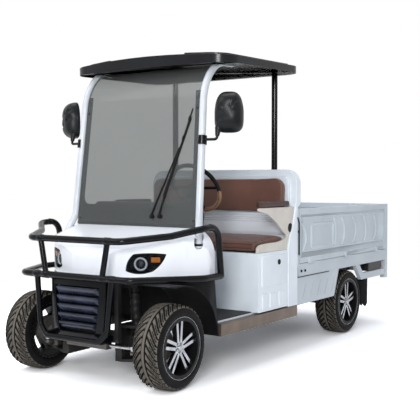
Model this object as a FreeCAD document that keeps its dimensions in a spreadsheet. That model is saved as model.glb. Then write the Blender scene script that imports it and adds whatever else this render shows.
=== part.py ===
import FreeCAD, Part
import Sketcher
import math
import os

# Utility golf cart with a drop-side cargo bed, in millimetres.
# Frame: +Z up, the nose points to -Y, the driver's side is +X, the ground is Z = 0.
# Stations along the cart are counted from the front axle, heights from the ground.

doc = FreeCAD.newDocument("utility_cart")
sheet = doc.addObject("Spreadsheet::Sheet", "Sizes")

SIZES = [
    # name, millimetres or degrees
    ("front_axle_at", -1259.5),
    ("wheelbase", 2100.0),
    ("body_half", 600.0),
    ("skin", 3.0),
    ("gap_fit", 0.3),
    ("shaft_fit", 0.05),
    # wheels
    ("tyre_radius", 235.0),
    ("tyre_width", 178.0),
    ("tyre_bead", 153.0),
    ("tyre_crown_drop", 7.0),
    ("tyre_shoulder", 26.0),
    ("wheel_centre_x", 486.0),
    ("rim_wall", 6.0),
    ("rim_lip", 166.0),
    ("rim_lip_width", 9.0),
    ("hub_radius", 34.0),
    ("hub_depth", 46.0),
    ("spoke_pairs", 5.0),
    ("spoke_width", 17.0),
    ("spoke_depth", 15.0),
    ("spoke_spread", 15.0),
    ("spoke_face_x", 69.5),
    ("stub_radius", 16.0),
    # steering and front suspension
    ("kingpin_x", 360.0),
    ("kingpin_high", 322.0),
    ("kingpin_radius", 23.0),
    ("ball_gap", 0.3),
    ("arm_thick", 16.0),
    ("arm_low_top", 150.0),
    ("arm_boss", 24.0),
    ("arm_root_half", 92.0),
    ("damper_low_x", 272.0),
    ("damper_high_x", 236.0),
    ("damper_high_z", 600.0),
    ("damper_radius", 20.0),
    ("coil_radius", 31.0),
    ("coil_wire", 5.0),
    ("steer_arm_reach", 112.0),
    ("steer_eye_x", 322.0),
    ("steer_eye", 15.0),
    ("steer_arm_z", 196.0),
    ("rack_gap", 7.0),
    ("rack_radius", 12.0),
    # chassis
    ("rail_x", 200.0),
    ("rail_width", 46.0),
    ("rail_low", 250.0),
    ("rail_high", 310.0),
    ("rail_front", -150.0),
    ("nose_post", 28.0),
    ("nose_post_high", 575.0),
    ("rear_rail_x", 262.0),
    ("rear_rail_low", 398.0),
    ("rear_rail_high", 468.0),
    ("rear_rail_front", 1200.0),
    ("bed_frame_high", 560.0),
    ("crossbar", 46.0),
    ("axle_radius", 33.0),
    ("differential_radius", 96.0),
    ("motor_radius", 84.0),
    ("motor_length", 230.0),
    ("leaf_half", 360.0),
    ("leaf_width", 45.0),
    ("leaf_thick", 8.0),
    ("leaf_drop", 78.0),
    # floor and sills
    ("floor_front", 345.0),
    ("floor_high", 325.0),
    ("sill_low", 245.0),
    ("sill_high", 317.0),
    ("sill_front", 345.0),
    ("sill_rear", 1254.0),
    ("sill_wide", 46.0),
    ("mat_thick", 6.0),
    # nose
    ("cowl_front", -125.0),
    ("cowl_low", 596.0),
    ("cowl_rear", 300.7),
    ("cowl_top", 867.0),
    ("cowl_brow", 772.0),
    ("cowl_corner", 150.0),
    ("cowl_inset", 20.0),
    ("nose_half", 400.0),
    ("nose_turn", 150.0),
    ("nose_bulge", 254.0),
    ("nose_bulge_in", 80.0),
    ("nose_side", 375.0),
    ("fender_radius", 332.0),
    ("fender_low", 250.0),
    ("fender_rear_low", 341.7),
    ("apron_low", 545.0),
    ("apron_wall", 4.0),
    ("arch_inner", 300.0),
    ("lamp_x", 330.0),
    ("lamp_z", 678.0),
    ("grille_half", 176.0),
    ("grille_low", 292.0),
    ("grille_high", 572.0),
    ("grille_front", -226.0),
    ("grille_depth", 60.0),
    ("grille_cheek", 26.0),
    ("louvres", 5.0),
    # bull bar
    ("bar_radius", 19.0),
    ("bar_front", -236.0),
    ("bar_high", 812.0),
    ("bar_low", 608.0),
    ("bar_side_x", 616.0),
    ("bar_end_at", 310.0),
    ("bar_corner_x", 335.0),
    ("bar_low_corner_x", 395.0),
    ("hoop_low", 264.0),
    ("hoop_radius", 16.0),
    # screen and roof
    ("screen_foot", 284.0),
    ("screen_foot_half", 458.0),
    ("screen_knee", 375.0),
    ("screen_knee_z", 1720.0),
    ("screen_knee_half", 432.7),
    ("screen_roll", 300.0),
    ("screen_lip", 522.0),
    ("screen_lip_run", 24.0),
    ("screen_thick", 5.0),
    ("strut_radius", 21.0),
    ("strut_foot_x", 526.0),
    ("strut_foot_at", 219.0),
    ("shelf_top", 744.0),
    ("slot_half", 24.0),
    ("roof_front", 352.0),
    ("roof_rear", 1316.0),
    ("roof_low", 1815.0),
    ("roof_edge", 44.0),
    ("roof_crown", 24.0),
    ("roof_corner", 130.0),
    ("roof_pitch", 1.5),
    ("roof_bow", 34.0),
    ("roof_wall", 5.0),
    ("roof_shoulder_in", 290.0),
    ("roof_shoulder_out", 545.0),
    ("roof_shoulder_up", 13.0),
    ("post_x", 486.0),
    ("canopy_post_x", 412.0),
    ("canopy_post_at", 1265.0),
    ("post_radius", 20.0),
    # cab
    ("dash_low", 780.0),
    ("dash_high", 1006.0),
    ("dash_front", 301.0),
    ("dash_deep", 205.0),
    ("dash_half", 370.0),
    ("wheel_x", 230.0),
    ("wheel_at", 612.0),
    ("wheel_z", 1092.0),
    ("wheel_lean", 34.0),
    ("steering_radius", 165.0),
    ("steering_grip", 13.0),
    ("seat_box_front", 765.0),
    ("seat_box_rear", 1128.0),
    ("seat_box_high", 690.0),
    ("cushion_front", 748.0),
    ("cushion_rear", 1122.0),
    ("cushion_high", 788.0),
    ("cushion_half", 566.0),
    ("back_low", 918.0),
    ("back_high", 1160.0),
    ("back_thick", 60.0),
    ("arch_front", 1130.0),
    ("arch_rear", 1254.0),
    ("arch_high", 1210.0),
    ("arch_band", 46.0),
    ("hoop_front", 1236.0),
    ("hoop_rear", 1294.0),
    ("back_wall_at", 1207.0),
    ("back_wall_thick", 30.0),
    ("back_round", 72.0),
    ("arch_corner", 95.0),
    ("arm_pad_high", 1010.0),
    # bed
    ("bed_front", 1276.0),
    ("bed_rear", 2735.0),
    ("bed_floor", 578.0),
    ("side_high", 950.0),
    ("side_thick", 26.0),
    ("side_skin", 10.0),
    ("side_rail", 40.0),
    ("rib_wide", 16.0),
    ("rib_proud", 5.0),
    ("rib_low", 675.0),
    ("rib_high", 875.0),
    ("side_low", 590.0),
    ("side_rail_low", 500.0),
    ("post_depth", 50.0),
    ("post_low", 356.0),
    ("skirt_low", 312.0),
    ("skirt_rear", 1812.0),
    ("skirt_rear_high", 1890.0),
    ("slot_pitch", 108.5),
    ("slot_lean", 50.0),
    ("slot_wide", 6.0),
    ("hinge_out", 3.0),
    ("knuckle_radius", 6.0),
    ("hinge_pin", 3.0),
    ("flap_at", 2396.0),
    ("mirror_turn", 25.0),
    ("hitch_half", 60.0),
    ("hitch_hole", 6.5),
]
for row, (name, value) in enumerate(SIZES, start=1):
    sheet.set("A" + str(row), name.replace("_", " "))
    sheet.set("B" + str(row), str(value))
    sheet.setAlias("B" + str(row), name)
doc.recompute()


class Size:
    """A length with the sheet expression that it comes from."""

    def __init__(self, value, text):
        self.value = value
        self.text = text

    def __float__(self):
        return self.value

    def __neg__(self):
        return Size(-self.value, "(-" + self.text + ")")

    def __add__(self, other):
        other = size(other)
        return Size(self.value + other.value, "(" + self.text + " + " + other.text + ")")

    def __sub__(self, other):
        other = size(other)
        return Size(self.value - other.value, "(" + self.text + " - " + other.text + ")")

    def __mul__(self, other):
        other = size(other)
        return Size(self.value * other.value, "(" + self.text + " * " + other.text + ")")

    def __truediv__(self, other):
        other = size(other)
        return Size(self.value / other.value, "(" + self.text + " / " + other.text + ")")

    def __radd__(self, other):
        return size(other) + self

    def __rsub__(self, other):
        return size(other) - self

    def __rmul__(self, other):
        return size(other) * self


def size(number):
    if isinstance(number, Size):
        return number
    return Size(float(number), "(" + repr(float(number)) + ")")


class Dimensions:
    """The sheet's cells by name."""

    def __getattr__(self, name):
        return Size(float(sheet.get(name)), "Sizes." + name)


d = Dimensions()
NODES = []


def vec(x, y, z):
    return FreeCAD.Vector(float(x), float(y), float(z))


def keep(item, node):
    """Name an object as a sub-part of the cart."""
    item.Label = node
    NODES.append(item)
    return item


def station(distance):
    """Distance behind the front axle as a row coordinate."""
    return d.front_axle_at + distance


def place(item, x, y, z):
    item.setExpression("Placement.Base.x", size(x).text)
    item.setExpression("Placement.Base.y", size(y).text)
    item.setExpression("Placement.Base.z", size(z).text)


def block(name, x, y, z):
    """A box between two limits on each axis."""
    item = doc.addObject("Part::Box", name)
    item.setExpression("Length", (size(x[1]) - x[0]).text)
    item.setExpression("Width", (size(y[1]) - y[0]).text)
    item.setExpression("Height", (size(z[1]) - z[0]).text)
    place(item, x[0], y[0], z[0])
    return item


AXES = {
    "x": FreeCAD.Rotation(vec(0, 1, 0), 90),
    "y": FreeCAD.Rotation(vec(1, 0, 0), -90),
    "z": FreeCAD.Rotation(),
}


def rod(name, axis, start, radius, length):
    """A cylinder from its start point along one axis."""
    item = doc.addObject("Part::Cylinder", name)
    item.Placement.Rotation = AXES[axis]
    item.setExpression("Radius", size(radius).text)
    item.setExpression("Height", size(length).text)
    place(item, *start)
    return item


def fuse(name, items):
    item = doc.addObject("Part::MultiFuse", name)
    item.Shapes = items
    item.Refine = True
    return item


def cut(name, base, tools):
    item = doc.addObject("Part::Cut", name)
    item.Base = base
    item.Tool = tools[0] if len(tools) == 1 else fuse(name + "_tools", tools)
    item.Refine = True
    return item


def group(name, items):
    """Pieces that share a node without touching."""
    item = doc.addObject("Part::Compound", name)
    item.Links = items
    return item


def mirrored(name, source):
    """The same piece on the other side of the cart."""
    item = doc.addObject("Part::Mirroring", name)
    item.Source = source
    item.Normal = vec(1, 0, 0)
    return item


def both(name, source):
    return group(name, [source, mirrored(name + "_mirror", source)])


PLANES = {"xy": "XY_Plane", "xz": "XZ_Plane", "yz": "YZ_Plane"}


def sketch_on(body, name, plane, start, points):
    """A closed outline of straight lines whose corners follow the sheet."""
    sketch = body.newObject("Sketcher::SketchObject", name)
    support = next(f for f in body.Origin.OriginFeatures if f.Role == PLANES[plane])
    sketch.AttachmentSupport = [(support, "")]
    sketch.MapMode = "FlatFace"
    offset = -size(start) if plane == "xz" else size(start)
    sketch.setExpression("AttachmentOffset.Base.z", offset.text)
    corners = [(size(a), size(b)) for a, b in points]
    count = len(corners)
    for index in range(count):
        here = corners[index]
        ahead = corners[(index + 1) % count]
        line = Part.LineSegment(vec(here[0], here[1], 0), vec(ahead[0], ahead[1], 0))
        sketch.addGeometry(line, False)
    for index in range(count):
        sketch.addConstraint(Sketcher.Constraint("Coincident", index, 2, (index + 1) % count, 1))
    for index, corner in enumerate(corners):
        for kind, length in zip(("DistanceX", "DistanceY"), corner):
            number = sketch.addConstraint(Sketcher.Constraint(kind, index, 1, float(length)))
            sketch.setExpression("Constraints[" + str(number) + "]", length.text)
    return sketch


def panel(name, plane, start, depth, points, rounds=()):
    """A padded outline; rounds lists (radius, test on the edge's middle)."""
    body = doc.addObject("PartDesign::Body", name)
    sketch = sketch_on(body, name + "_outline", plane, start, points)
    pad = body.newObject("PartDesign::Pad", name + "_pad")
    pad.Profile = sketch
    pad.setExpression("Length", size(depth).text)
    pad.Reversed = plane == "xz"
    body.Tip = pad
    if rounds:
        doc.recompute()
    for number, (radius, chosen) in enumerate(rounds):
        base = body.Tip
        edges = []
        for index, edge in enumerate(base.Shape.Edges, start=1):
            if chosen(edge):
                edges.append("Edge" + str(index))
        fillet = body.newObject("PartDesign::Fillet", name + "_round" + str(number))
        fillet.Base = (base, edges)
        fillet.setExpression("Radius", size(radius).text)
        body.Tip = fillet
        doc.recompute()
    return body


def runs_along(axis):
    """Tests whether an edge is straight along one axis."""
    def test(edge):
        if edge.Curve.TypeId != "Part::GeomLine":
            return False
        return abs(getattr(edge.tangentAt(edge.FirstParameter), axis)) > 0.999
    return test


def bent_path(points, bends):
    """Straight runs joined by tangent arcs of the given radii."""
    corners = [vec(*p) for p in points]
    edges = []
    last = corners[0]
    for index in range(1, len(corners) - 1):
        corner = corners[index]
        back = (corners[index - 1] - corner).normalize()
        ahead = (corners[index + 1] - corner).normalize()
        turn = math.pi - back.getAngle(ahead)
        radius = float(bends[index - 1])
        reach = radius * math.tan(turn / 2)
        first = corner + back * reach
        second = corner + ahead * reach
        inward = (back + ahead).normalize()
        middle = corner + inward * (radius / math.cos(turn / 2) - radius)
        edges.append(Part.LineSegment(last, first).toShape())
        edges.append(Part.Arc(first, middle, second).toShape())
        last = second
    edges.append(Part.LineSegment(last, corners[-1]).toShape())
    return Part.Wire(edges)


def tube_shape(points, bends, radius):
    """A round tube along a bent path."""
    path = bent_path(points, bends)
    start = path.Edges[0]
    ring = Part.Circle(start.valueAt(start.FirstParameter), start.tangentAt(start.FirstParameter), float(radius))
    return path.makePipeShell([Part.Wire([ring.toShape()])], True, False)


def shape_feature(name, shape):
    item = doc.addObject("Part::Feature", name)
    item.Shape = shape
    return item


def flip(points):
    return [(-size(x), y, z) for x, y, z in points]


rear_axle_at = d.front_axle_at + d.wheelbase
wheel_in = d.wheel_centre_x - d.tyre_width / 2
wheel_out = d.wheel_centre_x + d.tyre_width / 2


# Road wheels: a low-profile tyre on a two-part alloy rim with five pairs of spokes.

def tyre_shape(sign):
    half = float(d.tyre_width) / 2
    crown = float(d.tyre_radius)
    bead = float(d.tyre_bead)
    shoulder = float(d.tyre_shoulder)
    drop = float(d.tyre_crown_drop)
    flat = half - shoulder
    tuck = half - float(d.rim_lip_width) - 3
    side = [
        vec(flat * sign, 0, crown - drop),
        vec((half - 7) * sign, 0, crown - drop - shoulder * 0.45),
        vec(half * sign, 0, (crown + bead) / 2 + 8),
        vec((half - 2) * sign, 0, bead + 22),
        vec(tuck * sign, 0, bead + 15),
        vec(tuck * sign, 0, bead),
    ]
    return side


def tyre(node, x_centre, y_centre):
    right = tyre_shape(1)
    left = tyre_shape(-1)
    crown = vec(0, 0, float(d.tyre_radius))
    profile = [Part.Arc(left[0], crown, right[0]).toShape()]
    profile.append(Part.Arc(right[0], right[1], right[2]).toShape())
    for a, b in zip(right[2:], right[3:]):
        profile.append(Part.LineSegment(a, b).toShape())
    profile.append(Part.LineSegment(right[-1], left[-1]).toShape())
    for a, b in zip(reversed(left[2:]), reversed(left[3:] + [None])):
        if b is not None:
            profile.append(Part.LineSegment(b, a).toShape())
    profile.append(Part.Arc(left[2], left[1], left[0]).toShape())
    wire = Part.Wire(Part.sortEdges(profile)[0])
    solid = Part.Face(wire).revolve(vec(0, 0, 0), vec(1, 0, 0), 360)
    item = shape_feature(node, solid)
    place(item, x_centre, y_centre, d.tyre_radius)
    return keep(item, node)


def rim(node, x_centre, y_centre, sign, stub_length):
    """Barrel, outer lip, hub with its bore, and the spoke pairs."""
    half = float(d.tyre_width) / 2 - float(d.rim_lip_width) - 3
    outer = float(d.tyre_bead - d.gap_fit)
    inner = outer - float(d.rim_wall)
    lip = float(d.rim_lip)
    lip_in = half + float(d.gap_fit)
    lip_out = lip_in + float(d.rim_lip_width)
    outline = [
        (-lip_in, outer), (-lip_in, lip - 6), (-lip_out, lip - 6), (-lip_out, inner),
        (lip_out, inner), (lip_out, lip), (lip_in, lip), (lip_in, outer),
    ]
    points = [vec(x * sign, 0, r) for x, r in outline]
    wire = Part.makePolygon(points + [points[0]])
    shape = Part.Face(wire).revolve(vec(0, 0, 0), vec(1, 0, 0), 360)
    face = float(d.spoke_face_x)
    depth = float(d.spoke_depth)
    hub_depth = float(d.hub_depth)
    hub_radius = float(d.hub_radius)
    start = face - hub_depth if sign > 0 else -face
    hub = Part.makeCylinder(hub_radius, hub_depth, vec(start, 0, 0), vec(1, 0, 0))
    shape = shape.fuse(hub)
    width = float(d.spoke_width)
    for index in range(int(float(d.spoke_pairs))):
        for side in (-1, 1):
            low = face - depth if sign > 0 else -face
            spoke = Part.makeBox(depth, width, inner - hub_radius * 0.5 + 3)
            spoke.translate(vec(low, -width / 2 + side * 11, hub_radius * 0.5))
            spoke.rotate(vec(0, 0, hub_radius * 0.5), vec(1, 0, 0), -side * float(d.spoke_spread) / 3)
            spoke.rotate(vec(0, 0, 0), vec(1, 0, 0), 360.0 / float(d.spoke_pairs) * index)
            shape = shape.fuse(spoke)
    bore = float(d.stub_radius + d.shaft_fit)
    hole = Part.makeCylinder(bore, float(stub_length), vec(0, 0, 0), vec(sign, 0, 0))
    shape = shape.cut(hole).removeSplitter()
    item = shape_feature(node, shape)
    place(item, x_centre, y_centre, d.tyre_radius)
    return keep(item, node)


hub_inner_x = d.wheel_centre_x + d.spoke_face_x - d.hub_depth
bore_depth = d.spoke_face_x - 12
for end, y_centre in (("front", d.front_axle_at), ("rear", rear_axle_at)):
    for side, sign in (("left", 1), ("right", -1)):
        tyre(end + "_tyre_" + side, d.wheel_centre_x * sign, y_centre)
        rim(end + "_rim_" + side, d.wheel_centre_x * sign, y_centre, sign, bore_depth)


# Chassis: a ladder frame of box rails, narrow in front, raised over the rear axle.

def on_both_sides(name, low, high):
    return [(name + "_left", (low, high)), (name + "_right", (-size(high), -size(low)))]


chassis = []
half_rail = d.rail_width / 2
for name, x in on_both_sides("rail", d.rail_x - half_rail, d.rail_x + half_rail):
    chassis.append(block(name, x, (station(d.rail_front), station(d.arch_rear)), (d.rail_low, d.rail_high)))
    tower = name + "_tower"
    chassis.append(block(tower, x, (station(58), station(58) + 40), (d.rail_high, d.damper_high_z)))
for name, x in on_both_sides("nose_post", d.rail_x + half_rail - 1, d.rail_x + half_rail - 1 + d.nose_post):
    chassis.append(block(name, x, (station(d.rail_front), station(d.rail_front) + d.nose_post),
                         (d.rail_low, d.nose_post_high)))
for name, x in on_both_sides("rear_rail", d.rear_rail_x - half_rail, d.rear_rail_x + half_rail):
    chassis.append(block(name, x, (station(d.rear_rail_front), station(d.bed_rear)),
                         (d.rear_rail_low, d.rear_rail_high)))
    chassis.append(block(name + "_riser", x, (station(d.rear_rail_front), station(d.arch_rear)),
                         (d.rail_low, d.rear_rail_low)))
for name, x in on_both_sides("tower_plate", d.rail_x - half_rail, d.damper_high_x + 30):
    chassis.append(block(name, x, (station(-34), station(98)), (d.damper_high_z, d.damper_high_z + 12)))
for number, at in enumerate((d.rail_front, size(420), d.seat_box_front, d.rear_rail_front + 8)):
    half = d.rail_x - half_rail if number < 3 else d.rear_rail_x - half_rail
    chassis.append(block("crossbar" + str(number), (-half, half), (station(at), station(at) + d.crossbar),
                         (d.rail_low + 10, d.rail_high)))
for number, at in enumerate((d.bed_front + 12, size(1790), size(2310), d.bed_rear - d.crossbar)):
    chassis.append(block("bed_bearer" + str(number), (-(d.body_half - 42), d.body_half - 42),
                         (station(at), station(at) + d.crossbar), (d.rear_rail_high, d.bed_frame_high)))
keep(fuse("chassis", chassis), "chassis_frame")

sill_out = d.body_half - 4
keep(both("sills", block("sill_body", (sill_out - d.sill_wide, sill_out), (station(d.sill_front), station(d.sill_rear)),
                         (d.sill_low, d.sill_high))), "sills")
for number, at in enumerate((400, 1040)):
    name = "outrigger" + str(number)
    chassis.append(block(name, (d.rail_x + half_rail, d.body_half - 4 - d.sill_wide),
                         (station(at), station(at) + d.crossbar), (d.rail_low + 12, d.rail_high)))
    chassis.append(mirrored(name + "_right", chassis[-1]))
doc.getObject("chassis").Shapes = chassis


# Front suspension: wishbones on the rails, coil-over dampers and the steered uprights.

def wishbone(name, top):
    root = d.rail_x + half_rail
    outline = [
        (root, station(-d.arm_root_half)), (d.kingpin_x - 6, station(-d.arm_boss)),
        (d.kingpin_x + d.arm_boss, station(-d.arm_boss + 8)), (d.kingpin_x + d.arm_boss, station(d.arm_boss - 8)),
        (d.kingpin_x - 6, station(d.arm_boss)), (root, station(d.arm_root_half)),
    ]
    return panel(name, "xy", size(top) - d.arm_thick, d.arm_thick, outline)


low_mount = d.arm_low_top
lower = wishbone("lower_wishbone", low_mount)
drop_bracket = block("arm_bracket", (d.rail_x - half_rail, d.rail_x + half_rail),
                     (station(-d.arm_root_half), station(d.arm_root_half)),
                     (low_mount - d.arm_thick, d.rail_low))
upper_top = d.kingpin_high + d.ball_gap + d.arm_thick
upper = cut("upper_wishbone", wishbone("upper_wishbone_plate", upper_top),
            [rod("damper_window", "z", (d.damper_low_x - 14, station(0), upper_top - 60),
                 d.coil_radius + 8, 100)])
pivot_bracket = block("upper_bracket", (d.rail_x - half_rail, d.rail_x + half_rail),
                      (station(-d.arm_root_half), station(56)), (d.rail_high, upper_top))
arms_left = fuse("arms_left", [lower, drop_bracket])
arms_upper = fuse("arms_upper_left", [upper, pivot_bracket])
keep(both("front_arms", fuse("arms_all_left", [arms_left, arms_upper])), "front_wishbones")


def damper(name):
    foot = vec(d.damper_low_x, station(0), low_mount + d.gap_fit)
    head = vec(d.damper_high_x, station(0), d.damper_high_z - 1.2)
    axis = head - foot
    length = axis.Length
    body = Part.makeCylinder(float(d.damper_radius), length * 0.5, foot + axis * 0.04, axis)
    stem = Part.makeCylinder(float(d.damper_radius) * 0.5, length * 0.48, foot + axis * 0.52, axis)
    eye = Part.makeCylinder(13, 40, foot + vec(0, -20, 13.4), vec(0, 1, 0))
    plates = []
    for share in (0.27, 0.93):
        plates.append(Part.makeCylinder(float(d.coil_radius), 6, foot + axis * share, axis))
    shape = body.fuse([stem, eye] + plates)
    turns = 7
    low = float(length) * 0.27 + 6.2
    high = float(length) * 0.93 - 0.2
    pitch = (high - low) / turns
    outer = float(d.coil_radius) - 1
    points = [vec(float(d.damper_radius) + 2, 0, low)]
    for turn in range(turns):
        points.append(vec(outer, 0, low + pitch * (turn + 0.25)))
        points.append(vec(outer, 0, low + pitch * (turn + 0.55)))
        points.append(vec(outer - float(d.coil_wire), 0, low + pitch * (turn + 0.8)))
    points.append(vec(float(d.damper_radius) + 2, 0, high))
    coil = Part.Face(Part.makePolygon(points + [points[0]])).revolve(vec(0, 0, 0), vec(0, 0, 1), 360)
    coil.Placement = FreeCAD.Placement(foot, FreeCAD.Rotation(vec(0, 0, 1), axis))
    return shape_feature(name, Part.makeCompound([shape, coil]))


keep(both("dampers", damper("damper_left")), "front_dampers")


def upright(node, sign):
    """Upright with its kingpin, stub axle, brake drum and steering arm."""
    axis = vec(sign, 0, 0)
    x = float(d.kingpin_x) * sign
    wheel_z = float(d.tyre_radius)
    low = d.arm_low_top + d.ball_gap
    shape = Part.makeCylinder(float(d.kingpin_radius), float(d.kingpin_high - low),
                              vec(x, station(0), low), vec(0, 0, 1))
    stub = Part.makeCylinder(float(d.stub_radius), float(d.wheel_centre_x + bore_depth - 3 - d.kingpin_x),
                             vec(x, station(0), wheel_z), axis)
    drum = Part.makeCylinder(88, 52, vec(x + 36 * sign, station(0), wheel_z), axis)
    boss = Part.makeCylinder(36, 40, vec(x, station(0), wheel_z), axis)
    eye_x = float(d.steer_eye_x) * sign
    eye_y = station(-d.steer_arm_reach)
    arm_z = d.steer_arm_z - 7
    outline = [vec(x - 12, station(0), arm_z), vec(x + 12, station(0), arm_z),
               vec(eye_x + 12, eye_y, arm_z), vec(eye_x - 12, eye_y, arm_z)]
    arm = Part.Face(Part.makePolygon(outline + [outline[0]])).extrude(vec(0, 0, 14))
    eye = Part.makeCylinder(float(d.steer_eye), 14, vec(eye_x, eye_y, arm_z), vec(0, 0, 1))
    shape = shape.fuse([stub, drum, boss, arm, eye]).removeSplitter()
    return keep(shape_feature(node, shape), node)


upright("upright_left", 1)
upright("upright_right", -1)

rod_z = d.steer_arm_z + 7 + d.rack_gap + d.rack_radius
rod_y = station(-d.steer_arm_reach)
track = rod("track_bar", "x", (-(d.steer_eye_x + 2), rod_y, rod_z), d.rack_radius - 2, (d.steer_eye_x + 2) * 2)
ends = [rod("track_end" + str(n), "z", (x, rod_y, rod_z - d.rack_radius), 14, d.rack_radius * 2)
        for n, x in enumerate((-d.steer_eye_x, d.steer_eye_x))]
keep(fuse("track_rod_all", [track] + ends), "track_rod")
housing = cut("rack_tube", block("rack_block", (-150, 150), (rod_y - 22, rod_y + 22),
                                 (rod_z - 22, d.rail_low + 10)),
              [rod("rack_bore", "x", (-160, rod_y, rod_z), d.rack_radius - 2 + d.shaft_fit, 320)])
keep(housing, "rack_housing")


# Rear axle: banjo casing on leaf springs with the drive motor bolted to it.

axle_half = hub_inner_x - 60
casing = fuse("axle_casing", [
    rod("axle_tube", "x", (-axle_half, rear_axle_at, d.tyre_radius), d.axle_radius, axle_half * 2),
    rod("axle_stub", "x", (-(d.wheel_centre_x + bore_depth - 3), rear_axle_at, d.tyre_radius), d.stub_radius,
        (d.wheel_centre_x + bore_depth - 3) * 2),
    rod("rear_drum_left", "x", (d.kingpin_x + 36, rear_axle_at, d.tyre_radius), 88, 52),
    rod("rear_drum_right", "x", (-(d.kingpin_x + 88), rear_axle_at, d.tyre_radius), 88, 52),
    rod("differential", "x", (-60, rear_axle_at, d.tyre_radius), d.differential_radius, 120),
])
keep(casing, "rear_axle")
motor_front = rear_axle_at - d.differential_radius - d.motor_length
keep(fuse("motor_all", [
    rod("motor_can", "y", (0, motor_front, d.tyre_radius + 20), d.motor_radius, d.motor_length - d.gap_fit),
    rod("motor_cap", "y", (0, motor_front - 14, d.tyre_radius + 20), d.motor_radius - 14, 14),
]), "drive_motor")


def leaf_spring(name):
    """Three curved leaves under the rail with hanger plates at both ends."""
    middle = d.tyre_radius + d.axle_radius
    half = float(d.leaf_half)
    rise = float(d.leaf_drop)
    thick = float(d.leaf_thick)
    y0 = float(rear_axle_at)
    x = float(d.rear_rail_x - d.leaf_width / 2)
    shape = None
    for number, share in enumerate((1.0, 0.72, 0.45)):
        reach = half * share
        up = rise * share * share
        base = float(middle) + 10.3 + (2 - number) * thick
        under = [vec(x, y0 - reach, base + up), vec(x, y0, base), vec(x, y0 + reach, base + up)]
        over = [p + vec(0, 0, thick) for p in under]
        edges = [
            Part.Arc(under[0], under[1], under[2]).toShape(),
            Part.LineSegment(under[2], over[2]).toShape(),
            Part.Arc(over[2], over[1], over[0]).toShape(),
            Part.LineSegment(over[0], under[0]).toShape(),
        ]
        leaf = Part.Face(Part.Wire(edges)).extrude(vec(d.leaf_width, 0, 0))
        shape = leaf if shape is None else shape.fuse(leaf)
    for end in (-1, 1):
        top = float(d.rear_rail_low) - float(middle) - rise - 10
        hanger = Part.makeBox(float(d.leaf_width), 30, top - 20)
        hanger.translate(vec(x, y0 + end * half - 15, float(d.rear_rail_low) - top + 20))
        shape = shape.fuse(hanger)
    pad = Part.makeBox(float(d.leaf_width) + 20, 70, 10)
    pad.translate(vec(x - 10, y0 - 35, float(middle) + 0.3))
    shape = shape.fuse(pad)
    return shape_feature(name, shape.removeSplitter())


keep(both("springs", leaf_spring("spring_left")), "leaf_springs")


# Floor tray, rubber mat and the bulkhead behind the front wheels.

floor_half = d.body_half - 4 - d.sill_wide - d.gap_fit
floor_tray = block("floor_tray", (-floor_half, floor_half), (station(d.floor_front), station(d.arch_front)),
                   (d.rail_high, d.floor_high))
bulkhead = panel("bulkhead", "yz", -floor_half, floor_half * 2, [
    (station(d.floor_front), d.floor_high - 5), (station(d.floor_front) + 6, d.floor_high - 5),
    (station(d.cowl_rear) + 9, d.dash_low - d.gap_fit), (station(d.cowl_rear) + 3, d.dash_low - d.gap_fit)])
shelf = both("strut_shelves", block("strut_shelf", (d.strut_foot_x - 40, d.strut_foot_x + 20),
                                    (station(d.strut_foot_at) - 14, station(d.cowl_rear) + 9),
                                    (d.shelf_top - 6, d.shelf_top)))
keep(fuse("floor_all", [floor_tray, bulkhead, shelf]), "floor_pan")
mat = [block("mat_base", (-floor_half + 8, floor_half - 8),
             (station(d.floor_front + 12), station(d.seat_box_front - 6)), (d.floor_high, d.floor_high + d.mat_thick))]
keep(mat[0], "floor_mat")

# Nose: a hollow moulded cowl whose plan and side outlines meet in a rolled brow.

def nose_plan(inset, low, height):
    """Plan outline of the nose as a solid, open to the rear when it is inset."""
    half = float(d.body_half - d.cowl_inset) - inset
    front = float(station(d.cowl_front)) + inset
    back = float(station(d.cowl_rear)) + (60 if inset else 0)
    flat = float(d.nose_half)
    turn = front + float(d.nose_turn)
    bulge = front + float(d.nose_bulge)
    side = front + float(d.nose_side)
    narrow = half - float(d.nose_bulge_in)
    edges = [
        Part.Arc(vec(-flat, turn, low), vec(0, front, low), vec(flat, turn, low)).toShape(),
        Part.Arc(vec(flat, turn, low), vec(narrow, bulge, low), vec(half, side, low)).toShape(),
        Part.LineSegment(vec(half, side, low), vec(half, back, low)).toShape(),
        Part.LineSegment(vec(half, back, low), vec(-half, back, low)).toShape(),
        Part.LineSegment(vec(-half, back, low), vec(-half, side, low)).toShape(),
        Part.Arc(vec(-half, side, low), vec(-narrow, bulge, low), vec(-flat, turn, low)).toShape(),
    ]
    return Part.Face(Part.Wire(edges)).extrude(vec(0, 0, height))


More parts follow.
